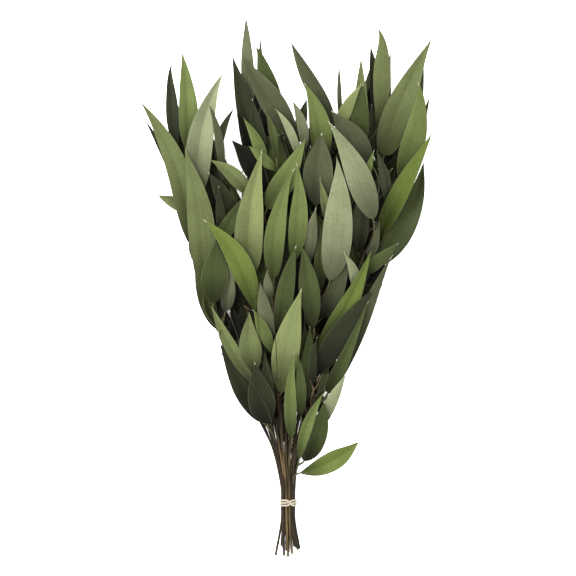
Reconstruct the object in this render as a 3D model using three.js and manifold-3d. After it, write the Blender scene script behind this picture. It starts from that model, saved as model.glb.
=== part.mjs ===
// A tied bunch of preserved willow eucalyptus, lying on a flat surface.
// Millimetres, +Z up. The cut ends point to -Y and the leaf tips to +Y.
// Each cut stem with the leaves that grow on it is one piece, and the elastic tie is one more.

import * as THREE from 'three';
import Module from 'manifold-3d';

const wasm = await Module();
wasm.setup();

// Driving dimensions
const BUNCH_LENGTH = 600;       // lowest cut end to highest leaf tip
const STEM_WIDTH = 3.1;         // a stem at its cut end
const STEM_TIP_WIDTH = 2.4;     // the same stem at its growing tip
const STEM_PITCH = 3.45;       // from one stem to the next inside the tie
const TIE_CENTRE_HEIGHT = 8.5; // of the tied stems above the surface
const BUNCH_RISE = 39.5;       // of the stems' middle from the tie to the leafy end
const STEM_SPREAD = 0.014;      // growth of the gap between rows of stems, per length from the tie
const STEM_SAG = 30;            // of a stem at the very side of the bunch below its middle
const LEAF_THICKNESS = 0.75;
const STALK_WIDTH = 1.7;
const STALK_THICKNESS = 1.2;
const LEAF_GAP = 0.8;           // kept between neighbouring leaves
const FLOOR_GAP = 1;            // kept under every leaf that doesn't carry weight
const TIE_STRAND_WIDTH = 2.4;
const TIE_STRAND_THICKNESS = 1.3;
const TIE_WRAPS = 3;
const TIE_PITCH = 2.9;          // from one wrap of the tie to the next
const TIE_GAP = 0.3;            // between the tie and the stems
const TIE_CROSSING = 0.205;     // share of the way round the tie, from its right side over the front
const TIE_CROSSING_HALF = 0.085;
const TIE_CROSSING_RAMP = 0.06;

// Fineness of the faceted solids
const STEM_SIDES = 5;
const STEM_STEPS = 14;
const TIE_SIDES = 6;
const TIE_STEPS = 24;           // to a wrap
const SHORTEST_EDGE = 0.02;

// Shown leaves: they keep their place in the front view and are pushed back until they are clear.
const LEAF_ARCH = 0.03;         // rise of the midrib's middle, per length
const SLOPES = [0.12, 0.05, 0.2, -0.03, 0.28, -0.12, 0.38];   // of the foot below the tip, per length
const LENGTH_SHARES = [1, 0.85, 1.15, 0.7];      // the hidden foot may come nearer or go deeper
const DEPTH_STEP = 3;
const DEPTH_LIMIT = 84;
const COVER_HEIGHT = 150;       // of the room in front of a shown leaf that stays free

// Leaves that fill the depth behind them
const FILL_SEED = 11;
const FILL_STEP = 8;            // between the places that are looked at
const FILL_LENGTH = [68, 112];
const FILL_WIDTH = [19, 28];
const FILL_SHARES = [1, 0.8, 0.62, 0.5];
const FILL_LEVELS = [4, -6, -9, 12, -13, 19, -20, 26, -27, 33, 40, 47];   // from the stems' middle
const FILL_TURNS = [0, 0.15, -0.15, 0.3, -0.3];
const FILL_SLIDES = [0.45, 0.3, 0.62];

// Leaves at even steps up each stem, turned by the golden angle from one to the next
const RULE_SEED = 7;
const RULE_START = 150;         // of the lowest one, from the cut end
const RULE_STEP = 32;           // along the stem
const RULE_STALK = 9;
const RULE_LENGTH = [62, 108];
const RULE_WIDTH = [14, 25];
const RULE_SHARES = [1, 0.8, 0.62];
const RULE_LEANS = [38, 26, 50, 15, 62];                // degrees away from the stem
const RULE_TURNS = [0, 25, -25, 55, -55, 95, -95, 140]; // degrees round the stem
const GOLDEN_ANGLE = Math.PI * (3 - Math.sqrt(5));

// The places below are read off a front view, in its pixels, with the tie as the middle.
const VIEW_LENGTH = 542;
const VIEW_TIE_X = 288;
const VIEW_TIE_Y = 504;
const SCALE = BUNCH_LENGTH / VIEW_LENGTH;

const FOLIAGE = new THREE.MeshStandardMaterial({ color: 0x66754a, roughness: 0.55, metalness: 0 });
const ELASTIC = new THREE.MeshStandardMaterial({ color: 0xe9e0cc, roughness: 0.7, metalness: 0 });
const UP = new THREE.Vector3(0, 0, 1);

function inView(x, y, z = 0) {
  return new THREE.Vector3((x - VIEW_TIE_X) * SCALE, (VIEW_TIE_Y - y) * SCALE, z);
}

// Stems: row in the tie (1 front, 0 middle, -1 back), place in the row, cut end, then the route.
const STEMS = [
  ['stem_front_left', 1, -1.5, [284, 557],
    [[277, 452], [268, 405], [256, 345], [246, 290], [241, 240], [243, 188]]],
  ['stem_front_middle', 1, -0.5, [288, 558],
    [[283, 452], [278, 400], [273, 345], [275, 276], [281, 205], [276, 145]]],
  ['stem_front_right', 1, 0.5, [292, 555],
    [[290, 452], [298, 400], [311, 340], [316, 285], [319, 225], [326, 165], [334, 122]]],
  ['stem_front_far_right', 1, 1.5, [298, 551],
    [[296, 452], [315, 394], [334, 340], [351, 290], [366, 240], [378, 195]]],
  ['stem_left_outer', 0, -2, [275.5, 557],
    [[274, 453], [262, 424], [244, 385], [224, 335], [205, 270], [190, 215], [178, 160]]],
  ['stem_left_inner', 0, -1, [283, 549],
    [[280, 452], [266, 388], [249, 320], [234, 255], [221, 200], [214, 140]]],
  ['stem_middle', 0, 0, [288.5, 554],
    [[286, 452], [288, 395], [293, 325], [297, 260], [300, 200], [303, 135]]],
  ['stem_right_inner', 0, 1, [294.5, 548],
    [[293, 452], [305, 395], [325, 330], [340, 270], [351, 215], [361, 145]]],
  ['stem_right_outer', 0, 2, [299.5, 550],
    [[299, 452], [322, 387], [349, 320], [375, 260], [396, 210], [412, 145]]],
  ['stem_back_left', -1, -1.5, [281.5, 547],
    [[275, 452], [262, 402], [236, 340], [215, 280], [201, 220], [193, 135]]],
  ['stem_back_middle', -1, -0.5, [286.5, 552],
    [[281, 452], [273, 390], [262, 320], [256, 250], [254, 180], [252, 100]]],
  ['stem_back_right', -1, 0.5, [291.5, 550],
    [[288, 452], [300, 390], [314, 320], [326, 260], [336, 190], [346, 110]]],
  ['stem_back_far_right', -1, 1.5, [296.5, 549],
    [[295, 452], [313, 390], [340, 320], [363, 260], [380, 200], [389, 115]]],
];

// Leaves that show, from the nearest to the furthest:
// tip x, tip y, foot x, foot y, width, sideways bow in hundredths of its length, fold, roll, and
// where it is widest, in hundredths of its length from the foot.
const SHOWN_LEAVES = [
  // round the foot of the bunch
  [360, 441, 299, 474, 20, 8, 8, 4, 47],
  [324, 392, 299, 461, 12, -5, 14, 10, 40],
  [325, 401, 304, 462, 24, 4, 16, -10, 38],
  [294, 351, 292, 440, 13, -3, 14, 0, 36],
  [297, 352, 301, 417, 10, 3, 10, 0, 40],
  [302, 288, 281, 394, 28, -3, 14, 4, 38],
  [255, 362, 267, 424, 27, -2, 12, 0, 38],
  [250, 312, 256, 372, 22, -6, 10, 0, 38],
  [253, 309, 273, 355, 13, 2, 12, 0, 45],
  [211, 305, 257, 388, 14, -3, 16, 8, 45],
  [219, 342, 263, 423, 22, -1, 12, 0, 36],
  [264, 350, 270, 424, 13, 1, 10, 0, 40],
  // low right edge
  [346, 374, 317, 431, 13, 0, 10, 0, 40],
  [368, 300, 328, 393, 14, 2, 14, 10, 20],
  [373, 289, 317, 376, 23, -3, 12, -5, 40],
  [371, 250, 319, 350, 22, 4, 14, -20, 34],
  [392, 254, 334, 391, 16, -1, 12, 0, 40],
  [343, 252, 356, 296, 11, 10, 12, 0, 40],
  [350, 256, 322, 318, 18, 2, 14, 0, 34],
  // middle, from left to right
  [203, 219, 255, 312, 23, 10, 10, 4, 43],
  [263, 149, 249, 276, 31, -4, 22, 0, 31],
  [294, 168, 274, 278, 21, -6, 14, 4, 31],
  [296, 245, 279, 335, 19, -2, 16, 0, 42],
  [302, 245, 314, 328, 21, 1, 14, 0, 42],
  [337, 157, 330, 281, 31, 4, 10, 0, 37],
  [328, 121, 373, 219, 28, 4, 24, 0, 34],
  [297, 163, 293, 262, 19, 4, 14, 0, 37],
  [306, 138, 267, 209, 23, 2, 12, 0, 34],
  [216, 240, 213, 303, 28, 0, 14, -8, 40],
  [229, 260, 225, 312, 15, 3, 10, 0, 36],
  [184, 147, 203, 300, 28, 5, 14, 0, 42],
  [197, 240, 216, 329, 17, -4, 12, 0, 36],
  [260, 282, 270, 345, 16, 0, 10, 0, 42],
  [267, 270, 271, 300, 9, -4, 10, 0, 42],
  [247, 194, 214, 250, 16, 0, 16, 0, 42],
  [218, 186, 223, 242, 10, 0, 10, 0, 42],
  [208, 172, 238, 228, 18, 3, 12, 0, 42],
  [210, 160, 253, 200, 16, 8, 12, 0, 44],
  [249, 146, 278, 172, 11, -1, 10, 0, 46],
  [231, 140, 264, 192, 21, 6, 10, 0, 42],
  [316, 208, 310, 264, 13, -4, 12, 0, 46],
  [325, 216, 321, 290, 13, -3, 12, 0, 36],
  [398, 243, 362, 276, 13, 0, 12, 0, 42],
  [390, 201, 350, 277, 18, -2, 12, 0, 36],
  [380, 222, 368, 264, 10, 1, 12, 0, 42],
  [433, 132, 377, 240, 20, -1, 14, 6, 36],
  [424, 160, 372, 268, 26, 9, 12, 0, 38],
  [374, 150, 357, 206, 10, 0, 10, 0, 42],
  [319, 178, 329, 230, 9, 2, 10, 0, 42],
  [331, 111, 372, 166, 25, 1, 12, 0, 44],
  [363, 186, 358, 252, 19, 0, 12, 0, 42],
  [321, 133, 316, 206, 31, 0, 14, 0, 42],
  [311, 146, 301, 206, 13, 0, 10, 0, 44],
  [376, 150, 388, 208, 11, 5, 10, 0, 44],
  [393, 168, 372, 192, 9, -2, 10, 0, 44],
  // left top
  [139, 100, 189, 243, 25, 9, 16, 0, 38],
  [209, 104, 221, 182, 9, 6, 10, 0, 45],
  [224, 72, 200, 195, 28, -8, 22, 0, 36],
  [182, 51, 188, 152, 20, 3, 12, 0, 37],
  [173, 62, 177, 152, 13, -3, 10, 0, 42],
  [144, 118, 181, 196, 7, 3, 12, 15, 45],
  [157, 195, 198, 213, 14, 0, 8, 0, 45],
  [235, 108, 217, 162, 9, -8, 10, 8, 42],
  // middle top
  [243, 118, 266, 173, 12, 6, 12, 0, 42],
  [265, 110, 276, 158, 8, 5, 10, 0, 44],
  [275, 109, 298, 160, 9, 8, 10, 0, 42],
  [292, 101, 304, 152, 11, 8, 10, 0, 44],
  [279, 134, 275, 190, 21, 0, 12, 0, 42],
  [242, 57, 298, 142, 25, 0, 16, 0, 42],
  [255, 46, 283, 120, 19, -2, 12, 0, 42],
  [252, 99, 262, 160, 14, 0, 10, 0, 42],
  [236, 112, 256, 176, 17, 6, 10, 0, 45],
  [232, 55, 256, 162, 18, 1, 12, 0, 42],
  [246, 15, 249, 110, 14, 0, 12, 0, 37],
  [260, 34, 262, 92, 5, 0, 10, 0, 36],
  [307, 99, 297, 146, 12, -2, 10, 0, 44],
  [304, 83, 321, 166, 22, 8, 14, 0, 40],
  [290, 41, 337, 128, 17, -2, 14, 0, 42],
  // right top
  [362, 84, 337, 138, 13, -6, 10, 0, 42],
  [363, 84, 362, 152, 18, -5, 12, 0, 40],
  [361, 56, 363, 150, 15, -1, 12, 0, 36],
  [339, 62, 341, 128, 5, -1, 8, 8, 40],
  [418, 82, 398, 178, 24, 8, 14, 0, 40],
  [433, 37, 384, 155, 30, -3, 18, 0, 28],
  [376, 27, 377, 128, 18, 5, 12, 0, 48],
  [391, 50, 386, 126, 9, -2, 10, 0, 36],
  [370, 45, 377, 117, 12, 2, 10, 0, 42],
  [371, 104, 376, 160, 12, 1, 10, 0, 46],
  [424, 67, 411, 137, 9, 1, 10, 0, 40],
  [430, 95, 412, 160, 7, 0, 10, 0, 40],
];

// Leaves under the bunch that carry it, pressed flat on the surface: same columns as above.
const RESTING_LEAVES = [
  [196, 215, 228, 300, 22, 3, 5, 0, 38],
  [398, 225, 356, 308, 22, -3, 5, 0, 38],
  [190, 118, 204, 205, 20, 0, 5, 0, 38],
  [402, 108, 392, 200, 20, 0, 5, 0, 38],
  [292, 185, 286, 280, 22, 0, 5, 0, 38],
];

// Edge of the foliage, which the leaves placed by rule keep inside.
const FOLIAGE_EDGE = [
  [274, 428], [254, 416], [234, 392], [220, 345], [217, 329], [206, 312], [202, 298], [191, 260], [184, 228],
  [172, 185], [164, 152], [172, 140], [173, 95], [190, 95], [199, 135], [211, 110], [222, 150], [232, 172],
  [243, 140], [235, 80], [244, 50], [264, 60], [285, 103], [300, 140], [306, 104], [324, 118], [338, 130],
  [349, 112], [362, 80], [374, 55], [392, 90], [402, 102], [413, 88], [422, 120], [425, 150], [423, 200],
  [412, 234], [388, 256],
  [384, 285], [370, 312], [357, 350], [338, 386], [322, 430], [301, 446],
];

// Small places in the photo where the background shows between leaves: x, y, radius.
const OPENINGS = [
  [241, 193, 4], [301, 134, 4], [307, 112, 4], [384, 262, 5], [309, 403, 3], [326, 396, 3], [267, 427, 3],
];

// Shares of a blade's length from foot to tip where its width is built.
const BLADE_STATIONS = [0.26, 0.67];
// How fast a blade narrows to its tip, and where a leaf of the rules is widest.
const TIP_POWER = 1.25;
const BELLY = 0.38;

function seededRandom(seed) {
  let state = seed;
  return () => {
    state = (state + 0x6d2b79f5) | 0;
    let value = Math.imul(state ^ (state >>> 15), 1 | state);
    value = (value + Math.imul(value ^ (value >>> 7), 61 | value)) ^ value;
    return ((value ^ (value >>> 14)) >>> 0) / 4294967296;
  };
}

// Shape of the whole bunch

function axisHeight(y) {
  return TIE_CENTRE_HEIGHT + BUNCH_RISE * THREE.MathUtils.smoothstep(y, 0, 420);
}

function halfWidth(y) {
  return 12 + 150 * THREE.MathUtils.smoothstep(y, -60, 420);
}

function frontHeight(x, y) {
  const side = Math.min(0.8, Math.abs(x - 5) / halfWidth(y));
  return axisHeight(y) + 12 + 0.34 * halfWidth(y) * Math.sqrt(1 - side * side);
}

// Stems

// A stem's place inside the tie, where the stems are packed like a honeycomb.
function slotInTie(row, place, y = 0) {
  return new THREE.Vector3(place * STEM_PITCH, y, TIE_CENTRE_HEIGHT + row * STEM_PITCH * Math.sqrt(0.75));
}

function stemCurve([, row, place, end, route]) {
  const cutEnd = inView(...end);
  cutEnd.z = TIE_CENTRE_HEIGHT + row * (TIE_CENTRE_HEIGHT - STEM_WIDTH / 2);
  const points = [cutEnd, ...[-18, 0, 14].map((y) => slotInTie(row, place, y))];
  for (const stop of route) {
    const point = inView(...stop);
    const spread = STEM_PITCH + STEM_SPREAD * point.y;
    const sag = STEM_SAG * (point.x / halfWidth(point.y)) ** 2;
    point.z = axisHeight(point.y) - sag + row * spread;
    points.push(point);
  }
  return new THREE.CatmullRomCurve3(points);
}

function stemRadius(along) {
  return THREE.MathUtils.lerp(STEM_WIDTH, STEM_TIP_WIDTH, along) / 2;
}

// Closed tube of a few flat sides with a flat cut end and a blunt tip.
function stemGeometry(curve) {
  const positions = [];
  const indices = [];
  for (let step = 0; step <= STEM_STEPS; step++) {
    const along = step / STEM_STEPS;
    const point = curve.getPointAt(along);
    const tangent = curve.getTangentAt(along);
    const side = new THREE.Vector3().crossVectors(tangent, UP).normalize();
    const normal = new THREE.Vector3().crossVectors(side, tangent);
    for (let corner = 0; corner < STEM_SIDES; corner++) {
      const angle = (corner / STEM_SIDES) * 2 * Math.PI - Math.PI / 2;
      const place = point.clone()
        .addScaledVector(side, stemRadius(along) * Math.cos(angle))
        .addScaledVector(normal, stemRadius(along) * Math.sin(angle));
      positions.push(...place.toArray());
    }
  }
  for (let step = 0; step < STEM_STEPS; step++) {
    for (let corner = 0; corner < STEM_SIDES; corner++) {
      const a = step * STEM_SIDES + corner;
      const b = step * STEM_SIDES + (corner + 1) % STEM_SIDES;
      indices.push(a, b + STEM_SIDES, b, a, a + STEM_SIDES, b + STEM_SIDES);
    }
  }
  const last = STEM_STEPS * STEM_SIDES;
  for (let corner = 1; corner < STEM_SIDES - 1; corner++) {
    indices.push(0, corner, corner + 1);
    indices.push(last, last + corner + 1, last + corner);
  }
  return geometryFrom(positions, indices);
}

function geometryFrom(positions, indices) {
  const geometry = new THREE.BufferGeometry();
  geometry.setAttribute('position', new THREE.Float32BufferAttribute(positions, 3));
  geometry.setIndex(indices);
  return geometry;
}

function solidFrom(geometry) {
  return new wasm.Manifold(new wasm.Mesh({
    numProp: 3,
    vertProperties: new Float32Array(geometry.attributes.position.array),
    triVerts: new Uint32Array(geometry.index.array),
  }));
}

// A join can leave edges that are too short to make. Each is drawn together into one corner, unless
// its two ends share more neighbours than the two triangles on it have, which would pinch the skin.
function withoutShortEdges(positions, triVerts) {
  const corner = (index) => new THREE.Vector3().fromArray(positions, 3 * index);
  let triangles = [];
  for (let first = 0; first < triVerts.length; first += 3) triangles.push([...triVerts.slice(first, first + 3)]);
  const shortEdge = () => {
    const around = new Map();
    for (const triangle of triangles) {
      for (const index of triangle) {
        if (!around.has(index)) around.set(index, new Set());
        triangle.forEach((other) => around.get(index).add(other));
      }
    }
    for (const [a, b, c] of triangles) {
      for (const [from, to] of [[a, b], [b, c], [c, a]]) {
        if (corner(from).distanceTo(corner(to)) > SHORTEST_EDGE) continue;
        const shared = [...around.get(from)].filter((index) => around.get(to).has(index));
        if (shared.length === 4) return [from, to];
      }
    }
    return null;
  };
  for (let edge = shortEdge(); edge; edge = shortEdge()) {
    const [kept, gone] = edge;
    triangles = triangles
      .map((triangle) => triangle.map((index) => (index === gone ? kept : index)))
      .filter(([a, b, c]) => a !== b && b !== c && c !== a);
  }
  return geometryFrom(positions, triangles.flat());
}

// Leaves

// A frame across the leaf at one place: to its right, and the way that its upper face looks.
function frameAt(tangent, roll) {
  const side = new THREE.Vector3().crossVectors(tangent, UP).normalize();
  const normal = new THREE.Vector3().crossVectors(side, tangent).normalize();
  side.applyAxisAngle(tangent, -roll);
  normal.applyAxisAngle(tangent, -roll);
  return { side, normal };
}

// A stalk has three corners: left and right above, and one below.
function stalkRing(middle, tangent, roll, grow) {
  const { side, normal } = frameAt(tangent, roll);
  const half = STALK_WIDTH / 2 + grow;
  const thick = STALK_THICKNESS / 2 + grow;
  return [[-half, 0.7 * thick], [half, 0.7 * thick], [0, -1.3 * thick]].map(([across, up]) =>
    middle.clone().addScaledVector(side, across).addScaledVector(normal, up));
}

// A blade has six: left edge, midrib and right edge above, then the same back again below.
function bladeRing(middle, tangent, half, thickness, fold, roll) {
  const { side, normal } = frameAt(tangent, roll);
  const out = half * Math.cos(fold);
  const lift = half * Math.sin(fold);
  const above = [[-out, lift], [0, 0], [out, lift]].map(([across, up]) =>
    middle.clone().addScaledVector(side, across).addScaledVector(normal, up + thickness / 2));
  const below = above.map((corner) => corner.clone().addScaledVector(normal, -thickness));
  return [...above, ...below.reverse()];
}

// The midrib runs from the foot to the tip, bowed sideways and arched upwards.
function midrib(leaf, along) {
  const span = leaf.tip.clone().sub(leaf.foot);
  const side = new THREE.Vector3(span.y, -span.x, 0);
  const swell = 4 * along * (1 - along);
  return leaf.foot.clone()
    .addScaledVector(span, along)
    .addScaledVector(side, leaf.bow * swell)
    .addScaledVector(UP, leaf.arch * span.length() * swell);
}

function midribWay(leaf, along) {
  const step = 0.01;
  return midrib(leaf, along + step).sub(midrib(leaf, along - step)).normalize();
}

// Share of the full width at one place along a blade that is widest at its belly.
function lance(along, belly) {
  const footPower = TIP_POWER * belly / (1 - belly);
  return (along / belly) ** footPower * ((1 - along) / (1 - belly)) ** TIP_POWER;
}

function footRing(leaf, grow = 0) {
  return stalkRing(leaf.foot, midribWay(leaf, 0), leaf.roll, grow);
}

function bladeRings(leaf, grow = 0) {
  return BLADE_STATIONS.map((along) => bladeRing(
    midrib(leaf, along), midribWay(leaf, along), lance(along, leaf.belly) * leaf.width / 2 + grow,
    LEAF_THICKNESS + 2 * grow, leaf.fold, leaf.roll));
}

function tipPair(leaf, grow = 0) {
  const { normal } = frameAt(midribWay(leaf, 1), leaf.roll);
  return [0.5, -0.5].map((face) =>
    leaf.tip.clone().addScaledVector(normal, face * (LEAF_THICKNESS + 2 * grow)));
}

// The stalk leaves the stem along the stem's own way and turns into the midrib's.
function stalkRings(leaf, grow = 0) {
  const reach = 0.35 * leaf.root.distanceTo(leaf.foot);
  const bend = new THREE.CubicBezierCurve3(
    leaf.root,
    leaf.root.clone().addScaledVector(leaf.stemWay, reach),
    leaf.foot.clone().addScaledVector(midribWay(leaf, 0), -reach),
    leaf.foot);
  return [0, 0.55].map((along) => stalkRing(bend.getPoint(along), bend.getTangent(along), 0, grow));
}

// Faces between a ring that starts at corner a and the next, which starts at corner b.
const BETWEEN_STALKS = (a, b) => [0, 1, 2].flatMap((i) => {
  const j = (i + 1) % 3;
  return [a + i, a + j, b + j, a + i, b + j, b + i];
});
const STALK_TO_BLADE = (a, b) => [
  a, a + 1, b + 1, a, b + 1, b, a + 1, b + 2, b + 1, a + 1, b + 3, b + 2,
  a + 1, a + 2, b + 4, a + 1, b + 4, b + 3, a + 2, a, b + 4, a, b + 5, b + 4, a, b, b + 5];
// Both faces of a blade are split alike, so that they stay the same distance apart.
const BETWEEN_BLADES = (a, b) => [
  a, a + 1, b + 1, a, b + 1, b, a + 1, a + 2, b + 1, a + 2, b + 2, b + 1,
  a + 2, a + 3, b + 3, a + 2, b + 3, b + 2, a + 3, a + 4, b + 4, a + 3, b + 4, b + 3,
  a + 4, a + 5, b + 4, a + 5, b + 5, b + 4, a + 5, a, b, a + 5, b, b + 5];
const BLADE_TO_TIP = (a, b) => [
  a, a + 1, b, a + 1, a + 2, b, a + 3, a + 4, b + 1, a + 4, a + 5, b + 1,
  a + 2, a + 3, b + 1, a + 2, b + 1, b, a + 5, a, b, a + 5, b, b + 1];

// Closed skin over a row of rings: stalk rings of 3 corners, blade rings of 6, and a tip of 2.
function skin(rings) {
  const positions = rings.flat().flatMap((corner) => corner.toArray());
  const indices = [0, 2, 1];
  let start = 0;
  for (let index = 0; index < rings.length - 1; index++) {
    const next = start + rings[index].length;
    const sizes = `${rings[index].length} to ${rings[index + 1].length}`;
    if (sizes === '3 to 3') indices.push(...BETWEEN_STALKS(start, next));
    if (sizes === '3 to 6') indices.push(...STALK_TO_BLADE(start, next));
    if (sizes === '6 to 6') indices.push(...BETWEEN_BLADES(start, next));
    if (sizes === '6 to 2') indices.push(...BLADE_TO_TIP(start, next));
    start = next;
  }
  if (rings[rings.length - 1].length === 3) indices.push(start, start + 1, start + 2);
  return geometryFrom(positions, indices);
}

function bladeSkin(leaf, grow = 0) {
  return skin([footRing(leaf, grow), ...bladeRings(leaf, grow), tipPair(leaf, grow)]);
}

function stalkSkin(leaf, grow = 0) {
  return skin([...stalkRings(leaf, grow), footRing(leaf, grow)]);
}

function leafGeometry(leaf) {
  return skin([...stalkRings(leaf), footRing(leaf), ...bladeRings(leaf), tipPair(leaf)]);
}

// The blade with all the room in front of it.
function coverSkin(leaf) {
  const rise = new THREE.Vector3(0, 0, COVER_HEIGHT);
  const rings = [footRing(leaf), ...bladeRings(leaf), tipPair(leaf)];
  for (const ring of rings) {
    const upper = ring.length === 3 ? 2 : ring.length / 2;
    ring.slice(0, upper).forEach((corner) => corner.add(rise));
  }
  return skin(rings);
}

// Placing: a leaf is bent until it is clear of everything that stands already

function boxOf(geometry) {
  geometry.computeBoundingBox();
  return geometry.boundingBox.clone();
}

function pieceFrom(geometry, stem = null) {
  return { solid: solidFrom(geometry), box: boxOf(geometry), stem };
}

function touches(piece, others, ownStem = null) {
  for (const other of others) {
    if (ownStem !== null && other.stem === ownStem) continue;
    if (!piece.box.intersectsBox(other.box)) continue;
    const shared = piece.solid.intersect(other.solid);
    const empty = shared.isEmpty();
    shared.delete();
    if (!empty) return true;
  }
  return false;
}

const curves = STEMS.map(stemCurve);
const stemGeometries = curves.map(stemGeometry);
const standing = {
  stems: stemGeometries.map((geometry, index) => pieceFrom(geometry, index)),
  blades: [],
  stalks: [],
  covers: [],   // a shown leaf with all the room in front of it, where no further leaf may come
};
const leaves = [];

function lowest(geometry) {
  return boxOf(geometry).min.z;
}

// Nearest stems to a leaf's foot, with the place lower down where its stalk leaves each of them.
function rootsNear(foot, count) {
  const found = curves.map((curve, stem) => {
    let best = null;
    for (let along = 0.16; along <= 0.985; along += 0.015) {
      const point = curve.getPointAt(along);
      const reach = Math.hypot(point.x - foot.x, point.z - foot.z);
      const rise = foot.y - point.y;
      const wanted = THREE.MathUtils.clamp(1.1 * reach, 7, 60);
      const cost = reach + 1.5 * Math.abs(rise - wanted);
      if (best === null || cost < best.cost) best = { cost, along, stem };
    }
    return best;
  });
  found.sort((a, b) => a.cost - b.cost);
  return found.slice(0, count).map(({ along, stem }) => ({
    stem,
    root: curves[stem].getPointAt(along),
    stemWay: curves[stem].getTangentAt(along),
  }));
}

function bladeIsClear(leaf, behindShown) {
  const geometry = bladeSkin(leaf, LEAF_GAP);
  if (lowest(geometry) < leaf.floor) return false;
  const piece = pieceFrom(geometry);
  const hit = (behindShown && touches(piece, standing.covers))
    || touches(piece, standing.blades)
    || touches(piece, standing.stalks)
    || touches(piece, standing.stems);
  piece.solid.delete();
  return !hit;
}

function stalkIsClear(leaf) {
  const geometry = stalkSkin(leaf, LEAF_GAP / 2);
  if (lowest(geometry) < leaf.floor) return false;
  const piece = pieceFrom(geometry);
  const hit = touches(piece, standing.blades)
    || touches(piece, standing.stalks, leaf.stem)
    || touches(piece, standing.stems, leaf.stem);
  piece.solid.delete();
  return !hit;
}

function settle(leaf, shown) {
  leaves.push(leaf);
  standing.blades.push(pieceFrom(bladeSkin(leaf)));
  standing.stalks.push(pieceFrom(stalkSkin(leaf), leaf.stem));
  if (shown) standing.covers.push(pieceFrom(coverSkin(leaf)));
}

// Tries the leaf on its nearest stems and keeps the first stalk that is clear.
function growsFromNearest(leaf, shown, behindShown) {
  if (!bladeIsClear(leaf, behindShown)) return false;
  for (const root of rootsNear(leaf.foot, 5)) {
    Object.assign(leaf, root);
    if (stalkIsClear(leaf)) {
      settle(leaf, shown);
      return true;
    }
  }
  return false;
}

function readLeaf([tipX, tipY, footX, footY, width, bow, fold, roll, belly]) {
  return {
    tip: inView(tipX, tipY),
    foot: inView(footX, footY),
    width: width * SCALE,
    belly: belly / 100,
    bow: bow / 100,
    arch: LEAF_ARCH,
    fold: THREE.MathUtils.degToRad(fold),
    roll: THREE.MathUtils.degToRad(roll),
    floor: FLOOR_GAP,
  };
}

// A stem lies in front of the leaf.
function stemCrosses(leaf) {
  const piece = pieceFrom(coverSkin(leaf));
  const hit = touches(piece, standing.stems);
  piece.solid.delete();
  return hit;
}

// A shown leaf keeps its place in the front view. It is pushed back step by step until it is clear,
// with its foot deeper in the bunch than its tip by one of a few slopes. With beforeStems set, it
// only stays where no stem crosses in front of it.
function placeShownLeaf(entry, beforeStems) {
  const leaf = readLeaf(entry);
  for (const share of LENGTH_SHARES) {
    const foot = leaf.tip.clone().lerp(inView(entry[2], entry[3]), share);
    const length = leaf.tip.distanceTo(foot);
    leaf.foot = foot;
    for (let depth = 0; depth <= DEPTH_LIMIT; depth += DEPTH_STEP) {
      for (const slope of SLOPES) {
        leaf.tip.z = frontHeight(leaf.tip.x, leaf.tip.y) - depth;
        foot.z = Math.min(leaf.tip.z, frontHeight(foot.x, foot.y) - depth) - slope * length;
        if (beforeStems && stemCrosses(leaf)) continue;
        if (growsFromNearest(leaf, true, true)) return true;
      }
    }
  }
  return false;
}

// A resting leaf lies with its underside on the surface.
function placeRestingLeaf(entry) {
  const leaf = readLeaf(entry);
  leaf.arch = 0;
  leaf.floor = -Infinity;
  const drop = lowest(bladeSkin(leaf));
  leaf.tip.z -= drop;
  leaf.foot.z -= drop;
  return growsFromNearest(leaf, false, false);
}

const edgePoints = FOLIAGE_EDGE.map(([x, y]) => inView(x, y));
const openings = OPENINGS.map(([x, y, radius]) => ({ middle: inView(x, y), radius: radius * SCALE }));

function insideOutline(point, outline) {
  let inside = false;
  outline.forEach((a, index) => {
    const b = outline[(index + 1) % outline.length];
    const level = (a.y > point.y) !== (b.y > point.y);
    if (level && point.x < a.x + (b.x - a.x) * (point.y - a.y) / (b.y - a.y)) inside = !inside;
  });
  return inside;
}

function outlineOf(leaf) {
  const rings = bladeRings(leaf);
  return [leaf.foot, ...rings.map((ring) => ring[0]), leaf.tip, ...rings.map((ring) => ring[2]).reverse()];
}

// A leaf leaves an opening free when the opening's circle is outside its outline in the front view.
function leavesOpen(outline, { middle, radius }) {
  if (insideOutline(middle, outline)) return false;
  return outline.every((corner, index) => {
    const side = new THREE.Line3(corner, outline[(index + 1) % outline.length]);
    return side.closestPointToPoint(middle, true, new THREE.Vector3()).distanceTo(middle) > radius;
  });
}

function staysInside(leaf) {
  const flat = outlineOf(leaf).map(({ x, y }) => new THREE.Vector3(x, y, 0));
  return insideOutline(leaf.tip, edgePoints)
    && bladeRings(leaf).every((ring) => ring.every((corner) => insideOutline(corner, edgePoints)))
    && openings.every((opening) => leavesOpen(flat, opening));
}

// Leaves that fill the depth: one goes behind each place where the front view would look right through.

function between([low, high], random) {
  return low + (high - low) * random();
}

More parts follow.
